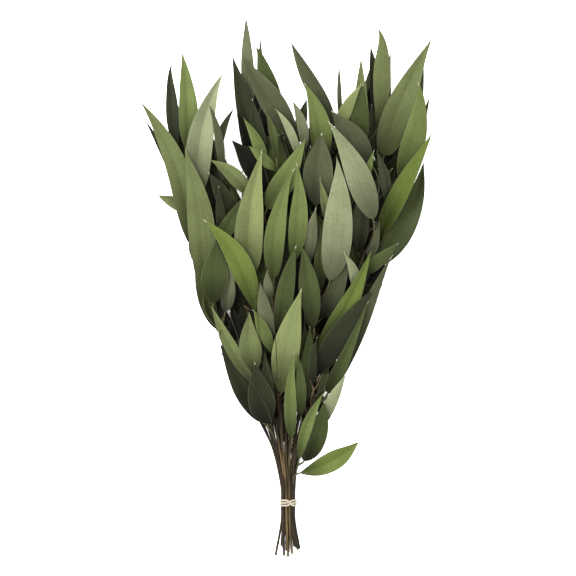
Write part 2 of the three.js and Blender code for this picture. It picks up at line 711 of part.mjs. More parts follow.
function fillAt(spot, random) {
  const full = between(FILL_LENGTH, random);
  const broad = between(FILL_WIDTH, random);
  const leaf = {
    belly: BELLY,
    bow: 0.1 * (random() - 0.5),
    arch: 0.06 * (random() - 0.3),
    fold: THREE.MathUtils.degToRad(6 + 10 * random()),
    roll: THREE.MathUtils.degToRad(24 * (random() - 0.5)),
    floor: FLOOR_GAP,
  };
  const away = Math.atan2(spot.x, spot.y + 120) * 0.8;
  for (const share of FILL_SHARES) {
    leaf.width = share * broad;
    for (const slide of FILL_SLIDES) {
      for (const turn of FILL_TURNS) {
        const way = new THREE.Vector3(Math.sin(away + turn), Math.cos(away + turn), 0);
        leaf.foot = spot.clone().addScaledVector(way, -slide * share * full);
        leaf.tip = spot.clone().addScaledVector(way, (1 - slide) * share * full);
        if (!staysInside(leaf)) continue;
        for (const level of FILL_LEVELS) {
          leaf.tip.z = axisHeight(leaf.tip.y) + level;
          leaf.foot.z = axisHeight(leaf.foot.y) + 0.8 * level;
          if (growsFromNearest(leaf, false, true)) return leaf;
        }
      }
    }
  }
  return null;
}

function fillDepth() {
  const random = seededRandom(FILL_SEED);
  const outlines = leaves.map(outlineOf);
  for (let y = VIEW_TIE_Y - 60; y > 60; y -= FILL_STEP) {
    for (let x = 130; x < 440; x += FILL_STEP) {
      const spot = inView(x + 0.5 * FILL_STEP * random(), y);
      if (!insideOutline(spot, edgePoints)) continue;
      if (outlines.some((outline) => insideOutline(spot, outline))) continue;
      const leaf = fillAt(spot, random);
      if (leaf) outlines.push(outlineOf(leaf));
    }
  }
}

// Leaves placed by rule: up each stem at even steps, turned by the golden angle from one to the next.
function placeRuleLeaf(stem, along, azimuth, random) {
  const full = between(RULE_LENGTH, random);
  const leaf = {
    width: between(RULE_WIDTH, random),
    belly: BELLY,
    bow: 0.12 * (random() - 0.5),
    arch: 0.08 * (random() - 0.3),
    fold: THREE.MathUtils.degToRad(8 + 16 * random()),
    roll: THREE.MathUtils.degToRad(44 * (random() - 0.5)),
    floor: FLOOR_GAP,
    stem,
    root: curves[stem].getPointAt(along),
    stemWay: curves[stem].getTangentAt(along),
  };
  const side = new THREE.Vector3().crossVectors(leaf.stemWay, UP).normalize();
  for (const share of RULE_SHARES) {
    for (const lean of RULE_LEANS) {
      for (const turn of RULE_TURNS) {
        const outward = side.clone()
          .applyAxisAngle(leaf.stemWay, azimuth + THREE.MathUtils.degToRad(turn));
        const slant = THREE.MathUtils.degToRad(lean);
        const way = leaf.stemWay.clone().multiplyScalar(Math.cos(slant))
          .addScaledVector(outward, Math.sin(slant));
        leaf.foot = leaf.root.clone()
          .addScaledVector(leaf.stemWay, 0.7 * RULE_STALK).addScaledVector(outward, 0.6 * RULE_STALK);
        leaf.tip = leaf.foot.clone().addScaledVector(way, share * full);
        if (staysInside(leaf) && bladeIsClear(leaf, true) && stalkIsClear(leaf)) {
          settle(leaf, false);
          return;
        }
      }
    }
  }
}

function placeRuleLeaves() {
  const random = seededRandom(RULE_SEED);
  curves.forEach((curve, stem) => {
    const length = curve.getLength();
    let azimuth = 2 * Math.PI * random();
    for (let reach = RULE_START; reach < length - 4; reach += RULE_STEP) {
      placeRuleLeaf(stem, reach / length, azimuth, random);
      azimuth += GOLDEN_ANGLE;
    }
  });
}

// Tie: one closed elastic strand that runs three times round the stems. On the front, right of the
// middle, the last wrap crosses over the others on its way back to the first.

// The line that a band follows round the outermost stems, read at even lengths.
function tieLine() {
  const slots = STEMS.map(([, row, place]) => slotInTie(row, place));
  const reach = STEM_WIDTH / 2 + TIE_GAP + TIE_STRAND_THICKNESS / 2;
  const points = [];
  for (let degree = 0; degree < 360; degree += 4) {
    const angle = THREE.MathUtils.degToRad(degree);
    const outward = new THREE.Vector3(Math.cos(angle), 0, Math.sin(angle));
    const outermost = slots.reduce((best, slot) => (slot.dot(outward) > best.dot(outward) ? slot : best));
    points.push(outermost.clone().addScaledVector(outward, reach));
  }
  return new THREE.CatmullRomCurve3(points, true, 'centripetal');
}

const bandLine = tieLine();

function tieSeat(share, lift) {
  const round = (share + 1) % 1;
  const way = bandLine.getTangentAt(round);
  const outward = new THREE.Vector3(way.z, 0, -way.x);
  return { outward, seat: bandLine.getPointAt(round).addScaledVector(outward, lift) };
}

function tiePath(share) {
  const turn = share * TIE_WRAPS;
  const wrap = Math.floor(turn);
  const past = turn - wrap - 0.5;   // the crossing is half way round from where a wrap starts
  const shift = THREE.MathUtils.smoothstep(past, -TIE_CROSSING_HALF, TIE_CROSSING_HALF);
  const first = (TIE_WRAPS - 1) / 2;
  const last = wrap === TIE_WRAPS - 1;
  const row = last ? first - wrap + shift * (TIE_WRAPS - 1) : first - wrap - shift;
  const outside = Math.max(0, Math.abs(past) - TIE_CROSSING_HALF);
  const over = last ? 1 - THREE.MathUtils.smoothstep(outside, 0, TIE_CROSSING_RAMP) : 0;
  const { outward, seat } = tieSeat(TIE_CROSSING + past, over * (TIE_STRAND_THICKNESS + TIE_GAP));
  seat.y = row * TIE_PITCH;
  return { outward, seat };
}

function tieGeometry() {
  const positions = [];
  const indices = [];
  const steps = TIE_WRAPS * TIE_STEPS;
  for (let step = 0; step < steps; step++) {
    const { outward, seat } = tiePath(step / steps);
    const ahead = tiePath(((step + 0.5) % steps) / steps).seat;
    const behind = tiePath(((step - 0.5 + steps) % steps) / steps).seat;
    const along = ahead.sub(behind).normalize();
    const across = new THREE.Vector3().crossVectors(along, outward).normalize();
    const out = new THREE.Vector3().crossVectors(across, along);
    for (let corner = 0; corner < TIE_SIDES; corner++) {
      const angle = (corner / TIE_SIDES) * 2 * Math.PI;
      const place = seat.clone()
        .addScaledVector(across, Math.cos(angle) * TIE_STRAND_WIDTH / 2)
        .addScaledVector(out, Math.sin(angle) * TIE_STRAND_THICKNESS / 2);
      positions.push(...place.toArray());
    }
  }
  for (let step = 0; step < steps; step++) {
    for (let corner = 0; corner < TIE_SIDES; corner++) {
      const a = step * TIE_SIDES + corner;
      const b = step * TIE_SIDES + (corner + 1) % TIE_SIDES;
      const c = ((step + 1) % steps) * TIE_SIDES + corner;
      const d = ((step + 1) % steps) * TIE_SIDES + (corner + 1) % TIE_SIDES;
      indices.push(a, d, b, a, c, d);
    }
  }
  return geometryFrom(positions, indices);
}

// The whole bunch

function leafyStem(index) {
  const own = leaves.filter(({ stem }) => stem === index);
  const whole = own.reduce(
    (solid, leaf) => solid.add(solidFrom(leafGeometry(leaf))), solidFrom(stemGeometries[index]));
  const { vertProperties, triVerts } = whole.getMesh();
  const mesh = new THREE.Mesh(withoutShortEdges(vertProperties, triVerts), FOLIAGE);
  mesh.name = STEMS[index][0];
  return mesh;
}

RESTING_LEAVES.forEach(placeRestingLeaf);
SHOWN_LEAVES.forEach((entry) => placeShownLeaf(entry, true) || placeShownLeaf(entry, false));
fillDepth();
placeRuleLeaves();

const bunch = new THREE.Group();
STEMS.forEach((stem, index) => bunch.add(leafyStem(index)));
const tie = new THREE.Mesh(tieGeometry(), ELASTIC);
tie.name = 'tie';
bunch.add(tie);

// The origin is in the middle of the bunch, on the surface that it lies on.
const room = new THREE.Box3().setFromObject(bunch);
bunch.position.set(-(room.min.x + room.max.x) / 2, -(room.min.y + room.max.y) / 2, -room.min.z);

export default bunch;
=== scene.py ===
# %% [markdown]
# # A tied bunch of willow eucalyptus
# A florist's bunch of preserved eucalyptus: cut woody stems with long lance-shaped leaves, held near the cut
# ends by a thin cream elastic. It lies on a table and is seen from straight above. Its solids are already
# measured and placed, with few flat sides to each leaf. This lesson dresses them. It reads each leaf's line,
# width and fold back from the solids, so that every leaf stays where it was placed, grows a smooth one there,
# and gives the stems their bark and the elastic its braid.

# %% Load the fixed frame
import math

import bmesh
import bpy
import numpy as np
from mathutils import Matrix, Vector


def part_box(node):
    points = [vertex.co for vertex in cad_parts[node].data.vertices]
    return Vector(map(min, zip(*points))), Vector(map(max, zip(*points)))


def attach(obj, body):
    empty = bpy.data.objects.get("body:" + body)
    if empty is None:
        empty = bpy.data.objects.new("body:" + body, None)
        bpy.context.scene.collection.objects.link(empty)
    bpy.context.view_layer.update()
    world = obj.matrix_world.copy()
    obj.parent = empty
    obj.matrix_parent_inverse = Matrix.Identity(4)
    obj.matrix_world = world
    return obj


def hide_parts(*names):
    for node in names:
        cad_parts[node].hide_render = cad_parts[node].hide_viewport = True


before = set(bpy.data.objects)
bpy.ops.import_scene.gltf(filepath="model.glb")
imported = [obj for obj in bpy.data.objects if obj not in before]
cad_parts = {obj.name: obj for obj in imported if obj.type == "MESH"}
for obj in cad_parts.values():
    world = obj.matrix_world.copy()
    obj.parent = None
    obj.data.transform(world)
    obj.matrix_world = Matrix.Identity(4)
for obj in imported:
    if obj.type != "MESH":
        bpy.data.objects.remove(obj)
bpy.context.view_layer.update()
MM = 0.001
UP = np.array([0.0, 0.0, 1.0])

# %% [markdown]
# ## The view
# The places of the stems and leaf tips were read off a front view of the bunch, in its pixels, with the tie
# as the fixed point. The same few numbers bring them into the frame and set up the camera. A camera close
# by would draw the upper leaves too large, so a very long lens looks straight down from far away.

# %% Places in the front view
BUNCH_LENGTH = 600 * MM
VIEW_SIDE = 576
VIEW_LENGTH = 542
VIEW_TIE = (288, 504)
SCALE = BUNCH_LENGTH / VIEW_LENGTH
TIE_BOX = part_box("tie")
TIE_MIDDLE = (np.array(TIE_BOX[0]) + np.array(TIE_BOX[1])) / 2


def in_view(x, y, height=0.0):
    """The place in the frame of a pixel of the front view, at a height over the table."""
    aside = (x - VIEW_TIE[0]) * SCALE
    ahead = (VIEW_TIE[1] - y) * SCALE
    return np.array([TIE_MIDDLE[0] + aside, TIE_MIDDLE[1] + ahead, height])


print("a pixel of the view is", round(SCALE / MM, 3), "mm")

# %% The camera
CAMERA_HEIGHT = 12.0
CAMERA_REACH = 100.0
FOCUS_HEIGHT = 0.07
SENSOR = 36.0


def placed(name, data):
    """A new object in the scene."""
    thing = bpy.data.objects.new(name, data)
    bpy.context.scene.collection.objects.link(thing)
    return thing


camera_data = bpy.data.cameras.new("camera")
camera_data.sensor_width = SENSOR
camera_data.lens = SENSOR * (CAMERA_HEIGHT - FOCUS_HEIGHT) / (VIEW_SIDE * SCALE)
camera_data.clip_end = CAMERA_REACH
camera = placed("camera", camera_data)
camera.location = in_view(VIEW_SIDE / 2, VIEW_SIDE / 2, CAMERA_HEIGHT)
bpy.context.scene.camera = camera
print("lens:", round(camera_data.lens), "mm, from", CAMERA_HEIGHT, "m above")

# %% [markdown]
# ## Finishes as sums
# A finish is a tree of small nodes. Wired by hand, a leaf's veins alone take dozens of lines that nobody can
# read later. Here a small class wraps an output socket, so that plus, minus and times add the Math nodes.
# Colours are mixed instead, since a Math node turns them grey.

# %% Sums on sockets
class Wire:
    """An output socket of a material. Arithmetic on it adds Math nodes."""

    def __init__(self, finish, socket):
        self.finish = finish
        self.socket = socket

    def math(self, operation, *values):
        return self.finish.node("ShaderNodeMath", {"operation": operation}, *values)

    def __add__(self, other):
        return self.math("ADD", self, other)

    def __sub__(self, other):
        return self.math("SUBTRACT", self, other)

    def __rsub__(self, other):
        return self.math("SUBTRACT", other, self)

    def __mul__(self, other):
        return self.math("MULTIPLY", self, other)

    __radd__ = __add__
    __rmul__ = __mul__

    def size(self):
        return self.math("ABSOLUTE", self)

    def fraction(self):
        return self.math("FRACT", self)

    def sine(self):
        return self.math("SINE", self)

    def rise(self, low, high):
        """0 below low, 1 above high, smooth in between. It falls where low is above high."""
        ends = (low, high, 0.0, 1.0) if low < high else (high, low, 1.0, 0.0)
        return self.finish.node("ShaderNodeMapRange", {"interpolation_type": "SMOOTHSTEP"}, self, *ends)


print("a wire can do:", [name for name in vars(Wire) if name[0] != "_"])

# %% A finish
class Finish:
    """A material under construction."""

    def __init__(self, name, specular):
        self.material = bpy.data.materials.new(name)
        self.material.use_nodes = True
        self.nodes = self.material.node_tree.nodes
        self.links = self.material.node_tree.links
        self.shader = next(node for node in self.nodes if node.type == "BSDF_PRINCIPLED")
        self.set("Specular IOR Level", specular)

    def fill(self, socket, value):
        if isinstance(value, Wire):
            self.links.new(value.socket, socket)
        else:
            socket.default_value = value

    def node(self, kind, settings, *values, output=0):
        """Adds a node, makes its settings and fills its sockets in order. None leaves a socket as it is."""
        node = self.nodes.new(kind)
        for name, value in settings.items():
            setattr(node, name, value)
        for socket, value in zip([s for s in node.inputs if s.enabled], values):
            if value is not None:
                self.fill(socket, value)
        return Wire(self, [s for s in node.outputs if s.enabled][output])

    def set(self, socket, value):
        self.fill(self.shader.inputs[socket], value)

    def body(self):
        """The place in the piece's own frame."""
        return self.node("ShaderNodeTexCoord", {}, output=3)

    def stored(self, name, output=0):
        """What is stored at the mesh's points, as a colour from output 0 or a vector from output 1."""
        return self.node("ShaderNodeAttribute", {"attribute_name": name}, output=output)

    def parts(self, vector):
        return [self.node("ShaderNodeSeparateXYZ", {}, vector, output=axis) for axis in range(3)]

    def joined(self, *values):
        return self.node("ShaderNodeCombineXYZ", {}, *values)

    def stretched(self, vector, scales):
        return self.node("ShaderNodeVectorMath", {"operation": "MULTIPLY"}, vector, scales)

    def noise(self, vector, scale, detail):
        return self.node("ShaderNodeTexNoise", {}, vector, scale, detail)

    def mix(self, share, first, second, blend="MIX"):
        return self.node("ShaderNodeMix", {"data_type": "RGBA", "blend_type": blend}, share, first, second)

    def layered(self, colour, layers):
        """A colour under layers: the share, colour and blending of each."""
        for share, second, blend in layers:
            colour = self.mix(share, colour, second, blend)
        return colour

    def bump(self, height, depth, strength):
        self.set("Normal", self.node("ShaderNodeBump", {}, strength, depth, None, height))


print("a finish can do:", [name for name in vars(Finish) if name[0] != "_"])

# %% [markdown]
# ## Table and light
# The table is plain and nearly white, and it glows like a light table, so that hardly a shadow shows on it.
# A bright white room lights the bunch from all sides, but hardly reaches the gaps between the leaves.
# A broad soft panel from the upper left adds a satin sheen and tells the halves of a folded leaf apart. A
# hard lamp would throw leaf shadows over the table. So much light would bleach the plant, so all its colours
# are painted darker by one share.

# %% Colours from a chart
STUDIO_LIGHT = 2.9  # times the light under which a colour looks as it does on a chart
WHITE = (1.0, 1.0, 1.0, 1.0)


def paint(red, green, blue, light=STUDIO_LIGHT):
    """A colour of a chart, 0 to 255, in the linear values that give the same look under a light."""
    chart = [value / 255 for value in (red, green, blue)]
    linear = [v / 12.92 if v <= 0.04045 else ((v + 0.055) / 1.055) ** 2.4 for v in chart]
    return tuple(v / light for v in linear) + (1.0,)


def dye(red, green, blue):
    """The same colour as three numbers, to be stored at the points of a mesh."""
    return np.array(paint(red, green, blue)[:3])


print("white on the chart is painted", [round(v, 2) for v in paint(255, 255, 255)])

# %% The table
TABLE_SIDE = 12.0
TABLE_DROP = 0.2 * MM
TABLE_GLOW = 0.45

half_table = TABLE_SIDE / 2
table_corners = [(x * half_table, y * half_table, 0) for x, y in ((-1, -1), (1, -1), (1, 1), (-1, 1))]
table_mesh = bpy.data.meshes.new("table")
table_mesh.from_pydata(table_corners, [], [(0, 1, 2, 3)])
table = placed("table", table_mesh)
table.location.z = -TABLE_DROP

table_finish = Finish("table_paint", specular=0.1)
table_finish.set("Roughness", 0.9)
table_finish.set("Base Color", paint(248, 248, 248, light=1.0))
table_finish.set("Emission Color", WHITE)
table_finish.set("Emission Strength", TABLE_GLOW)
table_mesh.materials.append(table_finish.material)
print("table:", TABLE_SIDE, "m square")

# %% The light
ROOM_STRENGTH = 2.0
PANEL_SIZE = 1.4
PANEL_WATTS = 150.0
PANEL_PLACE = (-0.9, 0.9, 2.4)
BUNCH_MIDDLE = Vector((0.0, 0.04, 0.05))

room = bpy.data.worlds.new("room")
room.use_nodes = True
room_light = room.node_tree.nodes["Background"].inputs
room_light["Color"].default_value = WHITE
room_light["Strength"].default_value = ROOM_STRENGTH
bpy.context.scene.world = room
bpy.context.scene.view_settings.view_transform = "Standard"

panel_data = bpy.data.lights.new("soft_panel", "AREA")
panel_data.size = PANEL_SIZE
panel_data.energy = PANEL_WATTS
panel = placed("soft_panel", panel_data)
panel.location = PANEL_PLACE
panel.rotation_euler = (BUNCH_MIDDLE - panel.location).to_track_quat("-Z", "Y").to_euler()
panel.visible_camera = False
print("panel:", PANEL_WATTS, "W,", PANEL_SIZE, "m wide")

# %% [markdown]
# ## Skins from rings
# A leaf, a stem, a leaf stalk and an elastic strand are all long things with a slowly changing section.
# Curves with a bevel would do for the stems, but a leaf needs its own section, and one way for all of them
# keeps the lesson short: a row of rings, with a skin of four-sided faces between them and a lid at each end.
# The rings also carry a tone and a place at each point, which the finishes read to draw veins and bark.

# %% A mesh made of skins
SHARP_ANGLE = math.radians(45)


def store(mesh, name, kind, field, values):
    layer = mesh.attributes.new(name, kind, "POINT")
    layer.data.foreach_set(field, np.ascontiguousarray(values, dtype=np.float32).ravel())


class Skins:
    """Collects closed skins for one piece, with its finishes in the order of its material slots."""

    def __init__(self, name, finishes):
        self.name = name
        self.finishes = finishes
        self.points, self.tones, self.places, self.faces, self.slots = [], [], [], [], []
        self.count = 0

    def add(self, rings, slot, tone, place, closed=False):
        """rings, tone and place hold a row of three numbers for each point, or what spreads out to that."""
        rows, corners, _ = rings.shape
        numbers = self.count + np.arange(rows * corners).reshape(rows, corners)
        after = np.roll(numbers, -1, axis=1)
        ahead = np.roll(numbers, -1, axis=0)
        last = rows if closed else rows - 1
        quads = np.stack([numbers, after, np.roll(ahead, -1, axis=1), ahead], axis=2)[:last]
        found = [tuple(face) for face in quads.reshape(-1, 4).tolist()]
        if not closed:
            found += [tuple(numbers[0][::-1].tolist()), tuple(numbers[-1].tolist())]
        self.faces += found
        self.slots += [slot] * len(found)
        for kept, given in ((self.points, rings), (self.tones, tone), (self.places, place)):
            kept.append(np.broadcast_to(given, rings.shape).reshape(-1, 3))
        self.count += rows * corners

    def piece(self):
        mesh = bpy.data.meshes.new(self.name)
        mesh.from_pydata(np.concatenate(self.points).tolist(), [], self.faces)
        for finish in self.finishes:
            mesh.materials.append(finish.material)
        mesh.polygons.foreach_set("material_index", self.slots)
        tones = np.concatenate(self.tones)
        store(mesh, "tone", "FLOAT_COLOR", "color", np.hstack([tones, np.ones((len(tones), 1))]))
        store(mesh, "place", "FLOAT_VECTOR", "vector", np.concatenate(self.places))
        mesh.shade_smooth()
        mesh.set_sharp_from_angle(angle=SHARP_ANGLE)
        mesh.update()
        return placed(self.name, mesh)


def rings_on(line, side, face, across, height):
    """Rings on a line, from how far each corner lies across it and out of its upper side."""
    return line[:, None, :] + across[:, :, None] * side[:, None, :] + height[:, :, None] * face[:, None, :]


print("a skin of 3 rings with 8 corners has", 2 * 8, "side faces and 2 lids")

# %% [markdown]
# ## The leaves' lines
# On the real plant each leaf hangs from a thin stalk and has its own length, bow and fold. The solids hold
# this in a small net for each leaf: two points at the tip, two rings of six across the blade and one of
# three at its foot. Retyping two hundred leaves would be slow and full of slips. Walking down that net finds
# them again. The outline follows two powers of the length, so the widths at the two blade rings tell where
# it is widest.

# %% The outline of a leaf
BLADE_STATIONS = (0.67, 0.26)  # shares of the length with a ring, from the tip down
TIP_POWER = 1.25


def lance(along, belly):
    """The outline of a leaf: its width at each share of its length, as a share of the widest."""
    foot_power = TIP_POWER * belly / (1 - belly)
    return (along / belly) ** foot_power * ((1 - along) / (1 - belly)) ** TIP_POWER


def outline_through(stations, widths):
    """Where a leaf is widest, and how wide, from its widths at two stations."""
    upper, lower = stations
    fall = math.log(widths[0] / widths[1]) - TIP_POWER * math.log((1 - upper) / (1 - lower))
    foot_power = fall / math.log(upper / lower)
    belly = foot_power / (foot_power + TIP_POWER)
    return belly, widths[1] / lance(lower, belly)


print("a leaf widest at 0.4 of its length has", round(lance(0.8, 0.4), 2), "of that width at 0.8")

# %% Walk down the net of a leaf
SOLID_THICKNESS = 0.75 * MM
SOLID_SLACK = 0.02 * MM
NET_RINGS = (6, 6, 3, None)  # corners of the rings below the tip: blade, blade, foot, any for the stalk


def middle(corners):
    return np.mean([corner.co for corner in corners], axis=0)


def is_thin(a, b):
    return abs((a.co - b.co).length - SOLID_THICKNESS) < SOLID_SLACK


def rings_below(pair, near):
    """The tip, two blade rings, the foot and the stalk. None if this pair is no tip."""
    rings = [set(pair)]
    seen = set(pair)
    for corners in NET_RINGS:
        ring = set().union(*(near[corner] for corner in rings[-1])) - seen
        if corners is not None and len(ring) != corners:
            return None
        rings.append(ring)
        seen |= ring
    tip = middle(pair)
    below = middle(rings[1]) - tip
    if min(np.dot(np.array(corner.co) - tip, below) for corner in rings[1]) <= 0:
        return None
    return rings


def blade_section(ring, near):
    """The midrib of a blade ring, half of its reach from edge to edge, and its edges' lift."""
    edges = [(a, b) for a in ring for b in near[a] & ring if a.index < b.index and is_thin(a, b)]
    ribs = ring - {corner for edge in edges for corner in edge}
    first, second = (middle(edge) for edge in edges)
    rib = middle(ribs)
    return rib, np.linalg.norm(first - second) / 2, (first + second) / 2 - rib


print("rings below a leaf's tip:", len(NET_RINGS))

# %% Read the leaves back from the solids
SAME_PLACE = 0.002 * MM
TIP_DIGITS = 5  # of a place in metres, when tips are put in order


def unit(vectors):
    return vectors / np.linalg.norm(vectors, axis=-1, keepdims=True)


def frames_along(ways, roll=0.0):
    """Directions across a line and out of its upper side, turned to the right by a roll."""
    side = unit(np.cross(ways, UP))
    face = np.cross(side, ways)
    turn = np.broadcast_to(np.asarray(roll, dtype=float), len(ways))[:, None]
    return np.cos(turn) * side + np.sin(turn) * face, np.cos(turn) * face - np.sin(turn) * side


def read_leaf(rings, near):
    tip, foot = middle(rings[0]), middle(rings[3])
    leaf = {"tip": tip, "foot": foot, "stalk": middle(rings[4])}
    bows, widths, folds, rolls = [], [], [], []
    for ring, along in zip(rings[1:3], BLADE_STATIONS):
        rib, out, lift = blade_section(ring, near)
        bows.append((rib - foot - along * (tip - foot)) / (4 * along * (1 - along)))
        widths.append(2 * math.hypot(out, np.linalg.norm(lift)))
        folds.append(math.atan2(np.linalg.norm(lift), out))
        way = tip - foot + 4 * (1 - 2 * along) * bows[-1]
        side, face = frames_along(unit(way)[None])
        rolls.append(math.atan2(-np.dot(lift, side[0]), np.dot(lift, face[0])))
    leaf["belly"], leaf["width"] = outline_through(BLADE_STATIONS, widths)
    leaf.update(bow=np.mean(bows, axis=0), fold=np.mean(folds), roll=np.mean(rolls))
    return leaf


def leaves_of(node):
    """Every leaf of one leafy stem, ordered by the place of its tip."""
    net = bmesh.new()
    net.from_mesh(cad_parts[node].data)
    bmesh.ops.remove_doubles(net, verts=net.verts, dist=SAME_PLACE)
    net.verts.index_update()
    near = {corner: {edge.other_vert(corner) for edge in corner.link_edges} for corner in net.verts}
    found = [rings_below(edge.verts, near) for edge in net.edges if is_thin(*edge.verts)]
    leaves = [read_leaf(rings, near) for rings in found if rings]
    net.free()
    return sorted(leaves, key=lambda leaf: tuple(leaf["tip"].round(TIP_DIGITS)))


STEM_NODES = sorted(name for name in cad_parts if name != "tie")
LEAVES = {node: leaves_of(node) for node in STEM_NODES}
ALL_LEAVES = [leaf for node in STEM_NODES for leaf in LEAVES[node]]
print("leaves:", len(ALL_LEAVES), "on", len(STEM_NODES), "stems")

# %% [markdown]
# ## The kinds of leaves
# Preserved eucalyptus isn't one green. Some leaves took up more of the dye and are nearly black, some kept
# a fresh green, and some are pale and dusty. Random kinds would look lively, but not like this bunch. So
# each leaf that shows was looked at in the photo, and its tip is listed under the kind that suits it best.
# The dark kinds also stand for painted shade, on the hidden leaves deep inside the bunch.
# The hidden leaves draw a dark kind from a seeded dice. The ten colours were picked, then adjusted
# until the bunch was as bright and as green as the real one. Four leaves have a crooked point, listed as a
# share of the largest crook.

# %% Kinds
KINDS = {
    "black": dye(20, 22, 12),
    "dark": dye(50, 55, 36),
    "dull": dye(84, 89, 64),
    "moss": dye(78, 88, 50),
    "stone": dye(112, 116, 88),
    "olive": dye(115, 125, 80),
    "grass": dye(112, 126, 72),
    "fresh": dye(110, 126, 60),
    "silver": dye(150, 158, 122),
    "sage": dye(140, 151, 98),
}
SHOWN_LEAVES = {
    "black": [(236, 112), (231, 140)],
    "dark": [(255, 362), (219, 342), (264, 350), (373, 289), (218, 186), (208, 172), (311, 146), (173, 62),
        (144, 118), (235, 108), (252, 99), (232, 55), (307, 99), (370, 45), (430, 95)],
    "dull": [(392, 254), (350, 256), (390, 201), (376, 150), (331, 111), (363, 186), (321, 133),
        (393, 168), (209, 104), (242, 57), (260, 34), (290, 41), (339, 62), (371, 104), (424, 67)],
    "moss": [(325, 401), (297, 352), (368, 300), (296, 245), (302, 245), (216, 240), (197, 240), (247, 194),
        (325, 216), (398, 243), (424, 160), (265, 110), (279, 134), (255, 46), (363, 84)],
    "stone": [(229, 260), (260, 282), (267, 270), (316, 208), (380, 222), (292, 101), (246, 15)],
    "olive": [(250, 312), (211, 305), (184, 147), (210, 160), (319, 178), (139, 100), (157, 195),
        (361, 56), (433, 37), (376, 27), (391, 50)],
    "grass": [(182, 51), (324, 392), (294, 351), (253, 309), (294, 168), (297, 163), (306, 138), (249, 146),
        (374, 150), (243, 118), (304, 83), (418, 82)],
    "fresh": [(360, 441), (371, 250), (203, 219), (433, 132)],
    "silver": [(346, 374), (343, 252), (337, 157), (328, 121), (224, 72), (275, 109)],
    "sage": [(302, 288), (263, 149), (362, 84)],
}
CROOKED = {(376, 27): 1.0, (173, 62): -0.6, (418, 82): 0.4, (255, 46): 0.6}
# dark kinds for the hidden leaves, painted as the shade deep inside the bunch
HIDDEN_SHADE_KINDS = ("black", "dark", "dark", "moss")
TIP_SLACK = 0.8 * MM
KIND_SEED = 5

KIND_OF_TIP = {tip: kind for kind, tips in SHOWN_LEAVES.items() for tip in tips}


def listed(table, leaf):
    """What a table of tips says about a leaf, or None where the leaf's tip isn't in it."""
    gaps = {tip: np.linalg.norm(in_view(*tip)[:2] - leaf["tip"][:2]) for tip in table}
    closest = min(gaps, key=gaps.get)
    return table[closest] if gaps[closest] < TIP_SLACK else None


kind_dice = np.random.default_rng(KIND_SEED)
for leaf in ALL_LEAVES:
    hidden_shade_kind = HIDDEN_SHADE_KINDS[kind_dice.integers(len(HIDDEN_SHADE_KINDS))]
    leaf["kind"] = listed(KIND_OF_TIP, leaf) or hidden_shade_kind
    leaf["crook"] = listed(CROOKED, leaf) or 0.0
shown_count = sum(listed(KIND_OF_TIP, leaf) is not None for leaf in ALL_LEAVES)
print("leaves with a kind of their own:", shown_count, "of", len(ALL_LEAVES))

# %% [markdown]
# ## One leaf
# A willow eucalyptus leaf is a lance: a rounded foot, widest a little below the middle, and a long point that
# hooks to one side. It is folded along a sunken midrib, its halves are gently domed and its margin ripples.
# A picture of a leaf on a card would do from above, but not from the side, so this is a thin closed skin.

# %% The line of a leaf
LEAF_RINGS = 27
TWIST = 0.1  # radians from foot to tip, at most
HOOK = 1.6 * MM  # sideways at the very tip, at most
HOOK_START = 0.92  # of the length
CROOK = 3.5 * MM  # to the right, under the tip of a crooked leaf, at most
CROOK_POWER = 5  # puts the crook near the tip


def leaf_line(leaf, along, twist, hook):
    """The bowed line of a leaf, and the directions across it and out of it."""
    span = leaf["tip"] - leaf["foot"]
    line = leaf["foot"] + along * span + 4 * along * (1 - along) * leaf["bow"]
    ways = unit(span + 4 * (1 - 2 * along) * leaf["bow"])
    side, face = frames_along(ways, leaf["roll"] + twist * (along[:, 0] - 0.5))
    hooked = np.clip((along - HOOK_START) / (1 - HOOK_START), 0, 1) ** 2
    line = line + hooked * hook * HOOK * side
    line = line + CROOK * leaf["crook"] * np.sin(math.pi * along ** CROOK_POWER) * side
    return line, side, face


lengths = [np.linalg.norm(leaf["tip"] - leaf["foot"]) / MM for leaf in ALL_LEAVES]
print("the leaves are", round(min(lengths)), "to", round(max(lengths)), "mm long")

# %% The section of a leaf
LEAF_COLUMNS = np.array([
    -1, -0.94, -0.8, -0.58, -0.34, -0.13, -0.045, 0, 0.045, 0.13, 0.34, 0.58, 0.8, 0.94, 1])
LEAF_THICKNESS = 0.45 * MM
EDGE_THINNING = 0.5  # of the thickness, lost at the margin
TIP_THINNING = 0.35  # of the thickness, lost at the tip
VALLEY = 0.16  # of the half width, where the fold is rounded
DOME = 0.05  # of the half width, upwards
RIDGE = 0.45 * MM  # of the midrib under the leaf
RIDGE_HALF = 0.1  # of the half width
FULL_SIZE = 0.3  # of the width: from this half width on, ridge and ripple are at full size
RIPPLE_HEIGHTS = (0.2, 0.6)  # in mm
RIPPLE_WAVES = 12  # radians of ripple from foot to tip
RIPPLE_SHIFT = 2.2  # radians, each way

COLUMNS = np.concatenate([LEAF_COLUMNS, LEAF_COLUMNS[::-1]])
FACES = np.repeat([1.0, -1.0], len(LEAF_COLUMNS))


